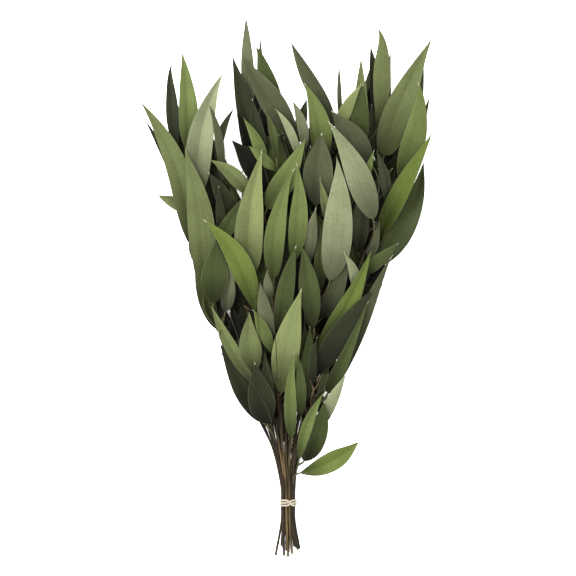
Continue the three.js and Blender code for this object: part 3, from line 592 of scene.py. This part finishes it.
def leaf_section(leaf, along, half, wave, phase):
    """Across and up from the midrib, for each ring and column, from the half width at each ring."""
    full = np.minimum(1, half / (FULL_SIZE * leaf["width"]))
    waves = np.sin(RIPPLE_WAVES * along + RIPPLE_SHIFT * np.sign(COLUMNS) + phase)
    ripple = wave * full * COLUMNS ** 2 * waves
    valley = (np.sqrt(COLUMNS ** 2 + VALLEY ** 2) - VALLEY) / (math.sqrt(1 + VALLEY ** 2) - VALLEY)
    dome = DOME * np.sin(math.pi * np.abs(COLUMNS))
    across = half * math.cos(leaf["fold"]) * COLUMNS
    height = half * (math.sin(leaf["fold"]) * valley + dome) + ripple
    thinning = (1 - EDGE_THINNING * COLUMNS ** 6) * (1 - TIP_THINNING * along)
    height = height + FACES * LEAF_THICKNESS / 2 * thinning
    height = height - RIDGE * ((FACES < 0) & (np.abs(COLUMNS) < RIDGE_HALF)) * (1 - along) * full
    return across, height


print("a leaf has", LEAF_RINGS, "rings of", len(COLUMNS), "corners")

# %% The shape of a leaf
STALK_RADIUS = 0.72 * MM
POINT_RADIUS = 0.16 * MM
UNEVEN = 0.03  # of the width, along each margin
UNEVEN_WAVES = 9  # radians of unevenness from foot to tip
UNEVEN_SHIFT = 2.5  # radians, each way
TURN = 6.3  # radians, just over a full turn


def leaf_rings(leaf, dice):
    """The rings of one leaf, and for each point its share of the length and of the half width."""
    twist, wave = dice.uniform(-TWIST, TWIST), dice.uniform(*RIPPLE_HEIGHTS) * MM
    phase, hook, own = dice.uniform(0, TURN), dice.uniform(-1, 1), dice.uniform(0, 1)
    along = ((1 - np.cos(np.linspace(0, math.pi, LEAF_RINGS))) / 2)[:, None]
    line, side, face = leaf_line(leaf, along, twist, hook)
    least = POINT_RADIUS + (STALK_RADIUS - POINT_RADIUS) * (1 - along) ** 6
    uneven = 1 + UNEVEN * np.sin(UNEVEN_WAVES * along + UNEVEN_SHIFT * np.sign(COLUMNS) + 2 * phase)
    half = np.maximum(leaf["width"] / 2 * lance(along, leaf["belly"]) * uneven, least)
    across, height = leaf_section(leaf, along, half, wave, phase)
    places = np.stack(np.broadcast_arrays(along, COLUMNS, own), axis=2)
    return rings_on(line, side, face, across, height)[:, ::-1], places[:, ::-1]


bellies = [leaf["belly"] for leaf in ALL_LEAVES]
print("leaves are widest at", round(min(bellies), 2), "to", round(max(bellies), 2), "of their length")

# %% [markdown]
# ## The leaf's surface
# The blade is leathery with a satin skin. Its midrib is barely paler than the rest, faint side veins leave
# it at a slant, the margin is a thin straw-coloured line and most points are dry. An image of a leaf would
# repeat on all of them, while veins drawn from the leaf's own length and width stay sharp and follow its
# bow. Each effect is one layer over the leaf's tone, and one more layer paints shade over the leaf's foot.

# %% Veins, margin and point
VEINS_TO_A_LEAF = 24.0
VEIN_SLANT = 3.2
VEIN_SHIFT = 9.0

leaf_finish = Finish("preserved_leaf", specular=0.05)
leaf_along, leaf_across, leaf_own = leaf_finish.parts(leaf_finish.stored("place", output=1))
from_midrib = leaf_across.size()
vein_step = (leaf_along * VEINS_TO_A_LEAF - from_midrib * VEIN_SLANT + leaf_own * VEIN_SHIFT).fraction()
vein = (vein_step - 0.5).size().rise(0.16, 0.02) * from_midrib.rise(1.0, 0.7)
midrib = from_midrib.rise(0.06, 0.02) * leaf_along.rise(0.9, 0.5)
margin = from_midrib.rise(0.95, 0.99)
# painted shade: strongest at the leaf's foot, where the leaves over it shade it
foot = leaf_along.rise(0.25, 0.0)
dry_point = leaf_along.rise(0.955, 0.975) * leaf_own.rise(0.2, 0.5)
print("nodes so far:", len(leaf_finish.nodes))

# %% Leaf finish
CLOUDS, FLECKS, MOTTLES, GRAINS = 38.0, 130.0, 330.0, 900.0  # to a metre

leaf_body = leaf_finish.body()
streak_place = leaf_finish.joined(leaf_along * 1.6, leaf_across * 7.0, leaf_own * 60.0)
leaf_streak = leaf_finish.noise(streak_place, 1.0, 3.0)
cloud = leaf_finish.noise(leaf_body, CLOUDS, 3.0)
fleck = leaf_finish.noise(leaf_body, FLECKS, 1.0).rise(0.76, 0.78)
mottle = leaf_finish.noise(leaf_body, MOTTLES, 3.0)
grain = leaf_finish.noise(leaf_body, GRAINS, 2.0)

leaf_layers = [
    (cloud.rise(0.35, 0.65) * 0.30, (0.62, 0.62, 0.52, 1), "MULTIPLY"),
    (leaf_streak.rise(0.3, 0.7) * 0.4, (1.4, 1.35, 1.3, 1), "MULTIPLY"),
    (mottle.rise(0.35, 0.65) * 0.35, (0.68, 0.7, 0.64, 1), "MULTIPLY"),
    (vein * 0.05, (1.4, 1.4, 1.3, 1), "MULTIPLY"),
    (midrib * 0.12, (1.6, 1.6, 1.4, 1), "MULTIPLY"),
    (margin * 0.18, paint(196, 196, 160), "MIX"),
    # painted shade at the foot
    (foot * 0.5, (0.36, 0.34, 0.28, 1), "MULTIPLY"),
    (fleck * 0.3, paint(120, 96, 60), "MIX"),
    (dry_point * 0.85, paint(224, 214, 184), "MIX"),
]
leaf_finish.set("Base Color", leaf_finish.layered(leaf_finish.stored("tone"), leaf_layers))
leaf_finish.set("Roughness", 0.44 + cloud * 0.14)
leaf_finish.bump(leaf_streak * 0.4 + grain * 0.1 + vein * 0.08 - midrib * 0.3, 0.25 * MM, 0.5)
print("leaf finish:", len(leaf_finish.nodes), "nodes")

# %% [markdown]
# ## Stems
# The stems are young wood, up to 3 mm thick and dark brown. Above the tie they are painted darker, as the
# shade of the leaves over them. The bark has long tan streaks where it has rubbed, and small scars where
# lower leaves were stripped off. Carving it would be heavy. Here each stem follows the smooth route of its
# solid, its rings are slightly uneven, and a finish draws the streaks.

# %% Stem routes
STEM_WIDTH = 3.1 * MM
STEM_TIP_WIDTH = 2.4 * MM
STEM_PITCH = 3.45 * MM
STEM_SPREAD = 0.014
STEM_SAG = 30 * MM
TIE_HEIGHT = 8.5 * MM
TIE_RUN = (-18 * MM, 0, 14 * MM)  # from the tie's middle, where the stems run straight
BUNCH_RISE = 39.5 * MM
RISE_LENGTH = 420 * MM
BUNCH_HALF = 12  # mm, half of the width at the tie
BUNCH_WIDENING = 150  # mm, by which that half grows towards the tips
WIDENING_START = -60 * MM

# Row in the tie (1 front, 0 middle, -1 back), place in the row, cut end in the view, then the route.
STEMS = {
    "stem_front_left": (1, -1.5, (284, 557), [
        (277, 452), (268, 405), (256, 345), (246, 290), (241, 240), (243, 188)]),
    "stem_front_middle": (1, -0.5, (288, 558), [
        (283, 452), (278, 400), (273, 345), (275, 276), (281, 205), (276, 145)]),
    "stem_front_right": (1, 0.5, (292, 555), [
        (290, 452), (298, 400), (311, 340), (316, 285), (319, 225), (326, 165), (334, 122)]),
    "stem_front_far_right": (1, 1.5, (298, 551), [
        (296, 452), (315, 394), (334, 340), (351, 290), (366, 240), (378, 195)]),
    "stem_left_outer": (0, -2, (275.5, 557), [
        (274, 453), (262, 424), (244, 385), (224, 335), (205, 270), (190, 215), (178, 160)]),
    "stem_left_inner": (0, -1, (283, 549), [
        (280, 452), (266, 388), (249, 320), (234, 255), (221, 200), (214, 140)]),
    "stem_middle": (0, 0, (288.5, 554), [
        (286, 452), (288, 395), (293, 325), (297, 260), (300, 200), (303, 135)]),
    "stem_right_inner": (0, 1, (294.5, 548), [
        (293, 452), (305, 395), (325, 330), (340, 270), (351, 215), (361, 145)]),
    "stem_right_outer": (0, 2, (299.5, 550), [
        (299, 452), (322, 387), (349, 320), (375, 260), (396, 210), (412, 145)]),
    "stem_back_left": (-1, -1.5, (281.5, 547), [
        (275, 452), (262, 402), (236, 340), (215, 280), (201, 220), (193, 135)]),
    "stem_back_middle": (-1, -0.5, (286.5, 552), [
        (281, 452), (273, 390), (262, 320), (256, 250), (254, 180), (252, 100)]),
    "stem_back_right": (-1, 0.5, (291.5, 550), [
        (288, 452), (300, 390), (314, 320), (326, 260), (336, 190), (346, 110)]),
    "stem_back_far_right": (-1, 1.5, (296.5, 549), [
        (295, 452), (313, 390), (340, 320), (363, 260), (380, 200), (389, 115)]),
}


def smooth(low, high, value):
    """0 below low, 1 above high, smooth in between."""
    share = np.clip((value - low) / (high - low), 0, 1)
    return share * share * (3 - 2 * share)


def slot_in_tie(row, place, y=0.0):
    """A stem's place inside the tie, where the stems are packed like a honeycomb."""
    height = TIE_HEIGHT + row * STEM_PITCH * math.sqrt(0.75)
    return TIE_MIDDLE * (1, 1, 0) + (place * STEM_PITCH, y, height)


def stem_points(row, place, end, route):
    points = [in_view(*end, TIE_HEIGHT + row * (TIE_HEIGHT - STEM_WIDTH / 2))]
    points += [slot_in_tie(row, place, y) for y in TIE_RUN]
    for stop in route:
        point = in_view(*stop)
        aside, reach = point[:2] - TIE_MIDDLE[:2]
        half_width = (BUNCH_HALF + BUNCH_WIDENING * smooth(WIDENING_START, RISE_LENGTH, reach)) * MM
        middle_height = TIE_HEIGHT + BUNCH_RISE * smooth(0, RISE_LENGTH, reach)
        sag = STEM_SAG * (aside / half_width) ** 2
        point[2] = middle_height - sag + row * (STEM_PITCH + STEM_SPREAD * reach)
        points.append(point)
    return np.array(points)


ROUTES = {node: stem_points(*STEMS[node]) for node in STEM_NODES}
print("stops on the stems' routes:", sum(map(len, ROUTES.values())))

# %% Smooth lines
STEM_RINGS = 200
FINE_STEPS = 40  # between two stops of a route


def steps_along(line):
    """The distance from each of a row of points to the next."""
    return np.linalg.norm(np.diff(line, axis=0), axis=1)


def points_at(stops, marks, line):
    """The places on a line at some stops, where marks are the stops of its own points."""
    return np.stack([np.interp(stops, marks, line[:, axis]) for axis in range(3)], axis=1)


def smooth_line(points, count, closed=False):
    """Evenly spaced points on a centripetal Catmull-Rom curve through the given ones."""
    if closed:
        padded = np.concatenate([points[-1:], points, points[:2]])
    else:
        padded = np.concatenate([2 * points[:1] - points[1:2], points, 2 * points[-1:] - points[-2:-1]])
    share = np.linspace(0, 1, FINE_STEPS, endpoint=False)[:, None]
    fine = []
    for before, start, end, after in zip(padded, padded[1:], padded[2:], padded[3:]):
        gaps = [math.sqrt(np.linalg.norm(b - a)) for a, b in ((before, start), (start, end), (end, after))]
        way_in = (start - before) / gaps[0] - (end - before) / (gaps[0] + gaps[1]) + (end - start) / gaps[1]
        way_out = (end - start) / gaps[1] - (after - start) / (gaps[1] + gaps[2]) + (after - end) / gaps[2]
        way_in, way_out = way_in * gaps[1], way_out * gaps[1]
        cubic = 2 * start - 2 * end + way_in + way_out
        square = 3 * (end - start) - 2 * way_in - way_out
        fine.append(start + way_in * share + square * share ** 2 + cubic * share ** 3)
    fine = np.concatenate(fine + [points[:1] if closed else points[-1:]])
    reach = np.concatenate([[0], np.cumsum(steps_along(fine))])
    even = np.linspace(0, reach[-1], count + 1 if closed else count)
    line = points_at(even, reach, fine)
    return line[:-1] if closed else line


SPINES = {node: smooth_line(route, STEM_RINGS) for node, route in ROUTES.items()}
print("stem lengths in mm:", [round(steps_along(line).sum() / MM) for line in SPINES.values()])

# %% Round rings
def ways_along(line, closed=False):
    """The direction of a row of points at each of them."""
    if closed:
        return unit(np.roll(line, -1, axis=0) - np.roll(line, 1, axis=0))
    return unit(np.gradient(line, axis=0))


def ring_angles(sides):
    return 2 * math.pi * np.arange(sides) / sides


def round_rings(line, radii, sides):
    """Rings round a line. radii spreads out to one number for each point of each ring."""
    side, face = frames_along(ways_along(line))
    angles = ring_angles(sides)
    return rings_on(line, side, face, radii * np.cos(angles), radii * np.sin(angles))


def round_places(along, sides):
    """For each point of round rings, its spot on a circle of radius 1 and how far along it is."""
    angles = ring_angles(sides)
    return np.stack(np.broadcast_arrays(np.cos(angles), np.sin(angles), along[:, None]), axis=2)


print("the 12 corners of a ring are", round(math.degrees(ring_angles(12)[1])), "degrees apart")

# %% Stem skins
STEM_SIDES = 12
SLIMMING = 0.9  # of the solid's radius, as swellings come on top
BARK_WAVES = 5
BARK_WAVE_HEIGHT = 0.012  # of the radius
BARK_WAVE_PACE = (30, 160)  # radians to a metre
SCAR_STEP = 21 * MM
SCAR_LENGTH = 1.3 * MM
SCAR_RING = 0.03  # of the radius, all round
SCAR_KNOB = 0.10  # of the radius, on the side where the leaf was
OWN_PLACE = 40  # the most that a stem's or twig's streaks are shifted
BARK_TONES = (dye(104, 86, 60), dye(56, 46, 32), dye(88, 74, 50), dye(40, 33, 23), dye(74, 64, 42))
STEM_SHADE_SPAN = (95 * MM, 150 * MM)  # from the cut end, over which painted shade of the leaves darkens the stem
STEM_SHADE_SHARE = 0.62
LEAF_SLOT, BARK_SLOT, STALK_SLOT = 0, 1, 2


def uneven_bark(reach, dice):
    """How far each point stands out, as a share of the radius, in waves and leaf scars."""
    angles = ring_angles(STEM_SIDES)
    uneven = np.zeros((STEM_RINGS, STEM_SIDES))
    for _ in range(BARK_WAVES):
        lobes, waves, phase = dice.integers(1, 4), dice.uniform(*BARK_WAVE_PACE), dice.uniform(0, TURN)
        uneven += BARK_WAVE_HEIGHT * np.sin(lobes * angles + waves * reach[:, None] + phase)
    for scar in np.arange(dice.uniform(0.4, 1) * SCAR_STEP, reach[-1], SCAR_STEP):
        swelling = np.exp(-((reach - scar) / SCAR_LENGTH) ** 2)[:, None]
        facing = np.clip(np.cos(angles - dice.uniform(0, TURN)), 0, 1)
        uneven += swelling * (SCAR_RING + SCAR_KNOB * facing)
    return uneven


def stem_skin(skins, spine, dice):
    length = steps_along(spine).sum()
    reach = np.linspace(0, length, STEM_RINGS)
    radius = (STEM_WIDTH + (STEM_TIP_WIDTH - STEM_WIDTH) * reach / length) / 2
    rings = round_rings(spine, radius[:, None] * (SLIMMING + uneven_bark(reach, dice)), STEM_SIDES)
    tone = BARK_TONES[dice.integers(len(BARK_TONES))]
    # painted shade: the stem darker where the leaves over it shade it
    tone = tone * (1 - STEM_SHADE_SHARE * smooth(*STEM_SHADE_SPAN, reach))[:, None, None]
    places = round_places(reach / STEM_WIDTH, STEM_SIDES) + (0, 0, OWN_PLACE * dice.uniform(0, 1))
    skins.add(rings, BARK_SLOT, tone, places)


print("a stem has", STEM_RINGS, "rings of", STEM_SIDES, "corners")

# %% [markdown]
# ## Twigs
# Thin bare twigs stand between the stems of the real bunch. Placing them one by one would be slow, and only
# their mess matters to the eye. So each stem draws six from a seeded dice. They leave it above the tie, run
# up beside it and drift away, mostly towards the middle of the bunch.

# %% Twig skins
TWIGS_TO_A_STEM = 6
TWIG_RINGS = 16
TWIG_SIDES = 6
TWIG_RADIUS = 0.75 * MM
TWIG_TAPER = 0.5  # of the radius, lost at the tip
TWIG_TONE = dye(48, 40, 30)
TWIG_STREAKS = 20  # streak lengths from end to end
TWIG_STARTS = (0.15, 0.3)  # of the stem's length
TWIG_LENGTHS = (0.16, 0.34)  # of the stem's length
TWIG_DRIFTS = (1.5, 6)  # mm to the side
TWIG_DROPS = (-3, 5)  # mm downwards


def twig_skin(skins, spine, dice):
    start, length = dice.uniform(*TWIG_STARTS), dice.uniform(*TWIG_LENGTHS)
    inward = np.sign(TIE_MIDDLE[0] - spine[-1, 0]) * dice.choice([1, 1, 1, -1])
    aside, drop = inward * dice.uniform(*TWIG_DRIFTS) * MM, dice.uniform(*TWIG_DROPS) * MM
    share = np.linspace(0, 1, TWIG_RINGS)
    line = points_at((start + length * share) * (len(spine) - 1), np.arange(len(spine)), spine)
    side = unit(np.cross(ways_along(line), UP))
    line = line + smooth(0, 1, share)[:, None] * (aside * side - drop * UP)
    line[:, 2] = np.maximum(line[:, 2], TWIG_RADIUS)
    rings = round_rings(line, (TWIG_RADIUS * (1 - TWIG_TAPER * share))[:, None], TWIG_SIDES)
    tone = TWIG_TONE * dice.uniform(0.7, 1.3)
    places = round_places(TWIG_STREAKS * share, TWIG_SIDES) + (0, 0, OWN_PLACE * dice.uniform(0, 1))
    skins.add(rings, BARK_SLOT, tone, places)


print("twigs:", TWIGS_TO_A_STEM * len(STEM_NODES))

# %% [markdown]
# ## Bark
# The streaks are noise stretched along the stem, about 25 times as long as wide. The darkest parts are
# cracks, the palest are rubbed ridges, and short specks break up the rest. An image of bark would repeat
# from stem to stem, while this noise starts elsewhere on each.

# %% Bark finish
bark_finish = Finish("bark", specular=0.1)
bark_place = bark_finish.stored("place", output=1)
bark_streak = bark_finish.noise(bark_finish.stretched(bark_place, (0.5, 0.5, 0.04)), 2.6, 4.0)
speckle = bark_finish.noise(bark_finish.stretched(bark_place, (0.6, 0.6, 0.25)), 5.0, 2.0)

bark_layers = [
    (bark_streak.rise(0.48, 0.60) * 0.8, (2.9, 2.8, 2.6, 1), "MULTIPLY"),
    (bark_streak.rise(0.48, 0.36) * 0.85, (0.3, 0.27, 0.24, 1), "MULTIPLY"),
    (speckle.rise(0.6, 0.72) * 0.3, (2.4, 2.3, 2.1, 1), "MULTIPLY"),
]
bark_finish.set("Base Color", bark_finish.layered(bark_finish.stored("tone"), bark_layers))
bark_finish.set("Roughness", 0.62 + speckle * 0.25)
bark_finish.bump(bark_streak + speckle * 0.4, 0.25 * MM, 0.8)
print("bark finish:", len(bark_finish.nodes), "nodes")

# %% [markdown]
# ## Leaf stalks
# Each leaf hangs on a stalk that leaves the stem along the stem's own direction and then turns into the
# midrib. Where it starts could be guessed, but the solids hold a ring about half way down it. The right
# start is where the curve passes through that ring, so a short search along the stem finds it.

# %% Stalk skins
STALK_RINGS = 9
STALK_SIDES = 7
STALK_REACH = 0.35  # of the way from root to foot, for which each end holds its direction
STALK_RING_AT = 0.55  # of the way down, where the solid has its ring
STALK_THICKNESS = (2.0, 1.3)  # times STALK_RADIUS, at the root and at the foot
ROOT_TONE = dye(58, 46, 32)
FOOT_TONE = dye(100, 98, 56)


def stalk_curve(root, root_way, foot, foot_way, share):
    """A cubic curve from root to foot. root may be a row of places, each with its own way."""
    reach = STALK_REACH * np.linalg.norm(foot - root, axis=-1, keepdims=True)
    controls = (root, root + reach * root_way, foot - reach * foot_way, foot + 0 * root)
    weights = ((1 - share) ** 3, 3 * (1 - share) ** 2 * share, 3 * (1 - share) * share ** 2, share ** 3)
    return sum(weight * control for weight, control in zip(weights, controls))


def stalk_line(leaf, spine):
    foot_way = unit(leaf["tip"] - leaf["foot"] + 4 * leaf["bow"])
    ways = ways_along(spine)
    tries = stalk_curve(spine, ways, leaf["foot"], foot_way, STALK_RING_AT)
    root = int(np.argmin(np.linalg.norm(tries - leaf["stalk"], axis=1)))
    shares = np.linspace(0, 1, STALK_RINGS)
    return np.array([stalk_curve(spine[root], ways[root], leaf["foot"], foot_way, share) for share in shares])


def stalk_skin(skins, leaf, spine):
    thick = np.linspace(*STALK_THICKNESS, STALK_RINGS)[:, None] * STALK_RADIUS
    rings = round_rings(stalk_line(leaf, spine), thick, STALK_SIDES)
    share = np.linspace(0, 1, STALK_RINGS)[:, None, None]
    tone = (1 - share) * ROOT_TONE + share * FOOT_TONE
    skins.add(rings, STALK_SLOT, tone, leaf["foot"] / STEM_WIDTH)


print("a stalk is", round(2 * STALK_THICKNESS[0] * STALK_RADIUS / MM, 1), "mm thick at its root")

# %% [markdown]
# ## Bare stalks
# Some leaves are gone, and their dry stalks and stubs stick out near the foot of the bunch. A dice would put
# them anywhere, so they are placed one by one. The first ten follow real ones, and the last four only close
# slits between the stems.

# %% Bare stalk skins
BARE_RINGS = 14
BARE_RADIUS = 0.55 * MM
BARE_TAPER = (1.1, 0.6)  # times BARE_RADIUS, at the root and at the tip
ROOT_DROP = 9 * MM  # from the first stop down to the root on the stem
BROWN = dye(66, 58, 38)
TAN = dye(134, 110, 74)

# Their stem, their tone, and their way in the view with heights in mm.
BARE_STALKS = [
    ("stem_front_left", BROWN, [(270, 417, 42), (264, 402, 47), (250, 380, 57), (239, 361, 61)]),
    ("stem_front_middle", BROWN, [(277, 375, 52), (276, 345, 66), (272, 298, 84)]),
    ("stem_left_inner", BROWN, [(246, 356, 54), (236, 332, 58), (229, 312, 62)]),
    ("stem_left_inner", BROWN, [(262, 352, 60), (259, 332, 66), (257, 314, 74)]),
    ("stem_left_outer", BROWN, [(223, 356, 40), (218, 347, 54), (221, 330, 60)]),
    ("stem_front_far_right", TAN, [(313, 392, 40), (318, 384, 46), (322, 374, 50)]),
    ("stem_front_far_right", BROWN, [(315, 396, 38), (323, 389, 44), (328, 379, 50)]),
    ("stem_front_far_right", TAN, [(311, 398, 36), (313, 389, 42), (310, 380, 46)]),
    ("stem_right_outer", TAN, [(318, 400, 34), (324, 394, 40), (325, 386, 44)]),
    ("stem_right_outer", BROWN, [(309, 410, 32), (316, 398, 40), (321, 381, 46)]),
    ("stem_front_right", BROWN, [(291.5, 460, 12), (291.5, 448, 12), (293, 434, 13)]),
    ("stem_front_middle", BROWN, [(285, 460, 12), (284.5, 448, 12), (284, 434, 13)]),
    ("stem_front_right", BROWN, [(296, 440, 14), (297.5, 426, 17), (300, 408, 22)]),
    ("stem_right_inner", BROWN, [(298, 440, 12), (300, 426, 14), (303, 410, 18)]),
]


def bare_stalk_skin(skins, spine, tone, stops):
    way = np.array([in_view(x, y, height * MM) for x, y, height in stops])
    root = spine[int(np.argmin(np.abs(spine[:, 1] - way[0, 1] + ROOT_DROP)))]
    line = smooth_line(np.concatenate([root[None], way]), BARE_RINGS)
    rings = round_rings(line, BARE_RADIUS * np.linspace(*BARE_TAPER, BARE_RINGS)[:, None], TWIG_SIDES)
    skins.add(rings, STALK_SLOT, tone, root / STEM_WIDTH)


print("bare stalks:", len(BARE_STALKS))

# %% [markdown]
# ## The stalks' surface
# A stalk is smooth and turns from brown wood to green leaf, which its points store as a tone. Streaks could
# be added as on the bark, but would be too fine to see, so it only gets clouds of brown.

# %% Stalk finish
stalk_finish = Finish("leaf_stalk", specular=0.12)
stalk_cloud = stalk_finish.noise(stalk_finish.body(), 260.0, 2.0)
stalk_layers = [(stalk_cloud.rise(0.4, 0.7) * 0.5, paint(70, 52, 38), "MIX")]
stalk_finish.set("Base Color", stalk_finish.layered(stalk_finish.stored("tone"), stalk_layers))
stalk_finish.set("Roughness", 0.45 + stalk_cloud * 0.2)
print("stalk finish:", len(stalk_finish.nodes), "nodes")

# %% [markdown]
# ## Thirteen leafy stems
# What grew as one piece is one piece here too: a stem with its twigs, stalks and leaves, in one mesh with
# three finishes. The dye took unevenly, so one half of a leaf is a little darker than the other. Its foot,
# buried among others, is painted darker still as the shade it lies in, and its underside is paler. Painting
# that by hand would take days, while a few shares and a dice give every leaf its own.

# %% Tones of a leaf
UNDERSIDE = dye(120, 126, 98)
UNDERSIDE_SHARE = 0.6
CREASE = 0.32  # of the half width, over which one half's tone turns into the other's
UNEVEN_DYE = 0.16  # by which one half is darker and the other lighter, at most
# painted shade: the foot is darkened as if shaded by the leaves over it
FOOT_SHADE = 0.50  # by which the buried foot is darker
SHADE_FADE = (0.1, 0.55)  # of the length, over which that fades


def leaf_tones(leaf, places, dice):
    """The tone at each point: uneven halves and painted shade at the foot on top, a paler version below."""
    uneven = dice.uniform(-UNEVEN_DYE, UNEVEN_DYE) * (2 * smooth(-CREASE, CREASE, places[..., 1:2]) - 1)
    # painted shade at the foot
    painted_foot_shade = FOOT_SHADE * (1 - smooth(*SHADE_FADE, places[..., 0:1]))
    tone = KINDS[leaf["kind"]] * (1 + uneven) * (1 - painted_foot_shade)
    return np.where(FACES[::-1, None] > 0, tone, tone + UNDERSIDE_SHARE * (UNDERSIDE - tone))


print("tones on a leaf:", LEAF_RINGS * len(COLUMNS))

# %% Grow the leafy stems
SEEDS = {"stem": 3, "twig": 8, "leaf": 23, "dye": 11}

dice = {what: np.random.default_rng(seed) for what, seed in SEEDS.items()}
for node in STEM_NODES:
    skins = Skins(node.replace("stem_", "leafy_stem_"), [leaf_finish, bark_finish, stalk_finish])
    stem_skin(skins, SPINES[node], dice["stem"])
    for _ in range(TWIGS_TO_A_STEM):
        twig_skin(skins, SPINES[node], dice["twig"])
    for stem, tone, stops in BARE_STALKS:
        if stem == node:
            bare_stalk_skin(skins, SPINES[node], tone, stops)
    for leaf in LEAVES[node]:
        rings, places = leaf_rings(leaf, dice["leaf"])
        skins.add(rings, LEAF_SLOT, leaf_tones(leaf, places, dice["dye"]), places)
        stalk_skin(skins, leaf, SPINES[node])
    piece = skins.piece()
    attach(piece, "root")
    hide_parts(node)
print("leafy stems:", len(STEM_NODES))

# %% [markdown]
# ## The elastic tie
# One cream elastic is wound three times round the stems, and its last wrap crosses the others on the front.
# A torus for each wrap would look like three rings. One closed line keeps it a strand that crosses itself.

# %% The line of the tie
TIE_WRAPS = 3
STRAND_WIDTH = 2.05 * MM
STRAND_THICKNESS = 1.3 * MM
TIE_PITCH = 2.9 * MM
TIE_GAP = 0.3 * MM
CROSSING = 0.205  # turns from the right to the crossing's middle
CROSSING_HALF = 0.085  # turns, half of the crossing's length
CROSSING_RAMP = 0.06  # turns, over which the last wrap climbs on to the others
TIE_RINGS = 240
BAND_POINTS = 720
BAND_STEP = 4  # degrees
REACH_DIGITS = 7  # in metres, so that equal reaches stay equal


def band_line():
    """The line that a band follows round the outermost stems."""
    slots = np.array([slot_in_tie(row, place) for row, place, _, _ in STEMS.values()])
    reach = STEM_WIDTH / 2 + TIE_GAP + STRAND_THICKNESS / 2
    points = []
    for degree in range(0, 360, BAND_STEP):
        outward = np.array([math.cos(math.radians(degree)), 0, math.sin(math.radians(degree))])
        points.append(slots[int(np.argmax((slots @ outward).round(REACH_DIGITS)))] + reach * outward)
    return smooth_line(np.array(points), BAND_POINTS, closed=True)


BAND = band_line()
BAND_WAYS = ways_along(BAND, closed=True)


def tie_place(share):
    """The middle of the strand and its outward direction, at a share of its whole length."""
    turn = share * TIE_WRAPS
    wrap = int(turn)
    past = turn - wrap - 0.5
    shift = smooth(-CROSSING_HALF, CROSSING_HALF, past)
    first = (TIE_WRAPS - 1) / 2
    last = wrap == TIE_WRAPS - 1
    row = first - wrap + shift * (TIE_WRAPS - 1) if last else first - wrap - shift
    outside = max(0.0, abs(past) - CROSSING_HALF)
    over = 1 - smooth(0, CROSSING_RAMP, outside) if last else 0.0
    spot = (CROSSING + past) % 1 * len(BAND)
    at, rest = int(spot) % len(BAND), spot % 1
    seat = BAND[at] * (1 - rest) + BAND[(at + 1) % len(BAND)] * rest
    way = BAND_WAYS[at]
    outward = np.array([way[2], 0, -way[0]])
    seat = seat + over * (STRAND_THICKNESS + TIE_GAP) * outward + (0, row * TIE_PITCH, 0)
    return seat, outward


tie_seats, tie_outward = map(np.array, zip(*(tie_place(step / TIE_RINGS) for step in range(TIE_RINGS))))
tie_length = steps_along(tie_seats).sum()
print("the tie's strand is", round(float(tie_length) / MM), "mm long")

# %% [markdown]
# ## Braid
# The elastic's braided cover shows small ribs that slant both ways. Modelling each thread would be far too
# fine. The product of two waves gives the same little diamonds, with painted shade darkening the grooves.

# %% Tie finish
BRAID_ROUND = 7.0  # waves round the strand
BRAID_ALONG = 900.0  # radians to a metre
CREAM = (228, 218, 196)
GROOVE_SHADE = (150, 136, 108)

tie_finish = Finish("braided_elastic", specular=0.2)
tie_finish.set("Roughness", 0.78)
tie_round, tie_along, _ = tie_finish.parts(tie_finish.stored("place", output=1))
right_ribs = (tie_round * BRAID_ROUND + tie_along * BRAID_ALONG).sine()
left_ribs = (tie_round * BRAID_ROUND - tie_along * BRAID_ALONG).sine()
braid = right_ribs * left_ribs
# painted shade: the grooves of the braid darker than the cream threads
tie_finish.set("Base Color", tie_finish.mix(braid.rise(-0.2, -0.9) * 0.5, paint(*CREAM), paint(*GROOVE_SHADE)))
tie_finish.bump(braid, 0.1 * MM, 0.8)
print("tie finish:", len(tie_finish.nodes), "nodes")

# %% Wind the tie
TIE_SIDES = 14

tie_ways = ways_along(tie_seats, closed=True)
tie_side = unit(np.cross(tie_ways, tie_outward))
tie_face = np.cross(tie_side, tie_ways)
tie_angles = ring_angles(TIE_SIDES)
tie_across = STRAND_WIDTH / 2 * np.cos(tie_angles)[None]
tie_height = STRAND_THICKNESS / 2 * np.sin(tie_angles)[None]
tie_rings = rings_on(tie_seats, tie_side, tie_face, tie_across, tie_height)
tie_reach = np.linspace(0, tie_length, TIE_RINGS)[:, None]
tie_places = np.stack(np.broadcast_arrays(tie_angles, tie_reach, 0.0), axis=2)
tie_skins = Skins("elastic_tie", [tie_finish])
tie_skins.add(tie_rings, 0, dye(*CREAM), tie_places, closed=True)
tie_piece = tie_skins.piece()
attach(tie_piece, "root")
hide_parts("tie")
print("tie rings:", TIE_RINGS)

# %% [markdown]
# ## The size
# The dressed bunch has to fill the same room as its solids.
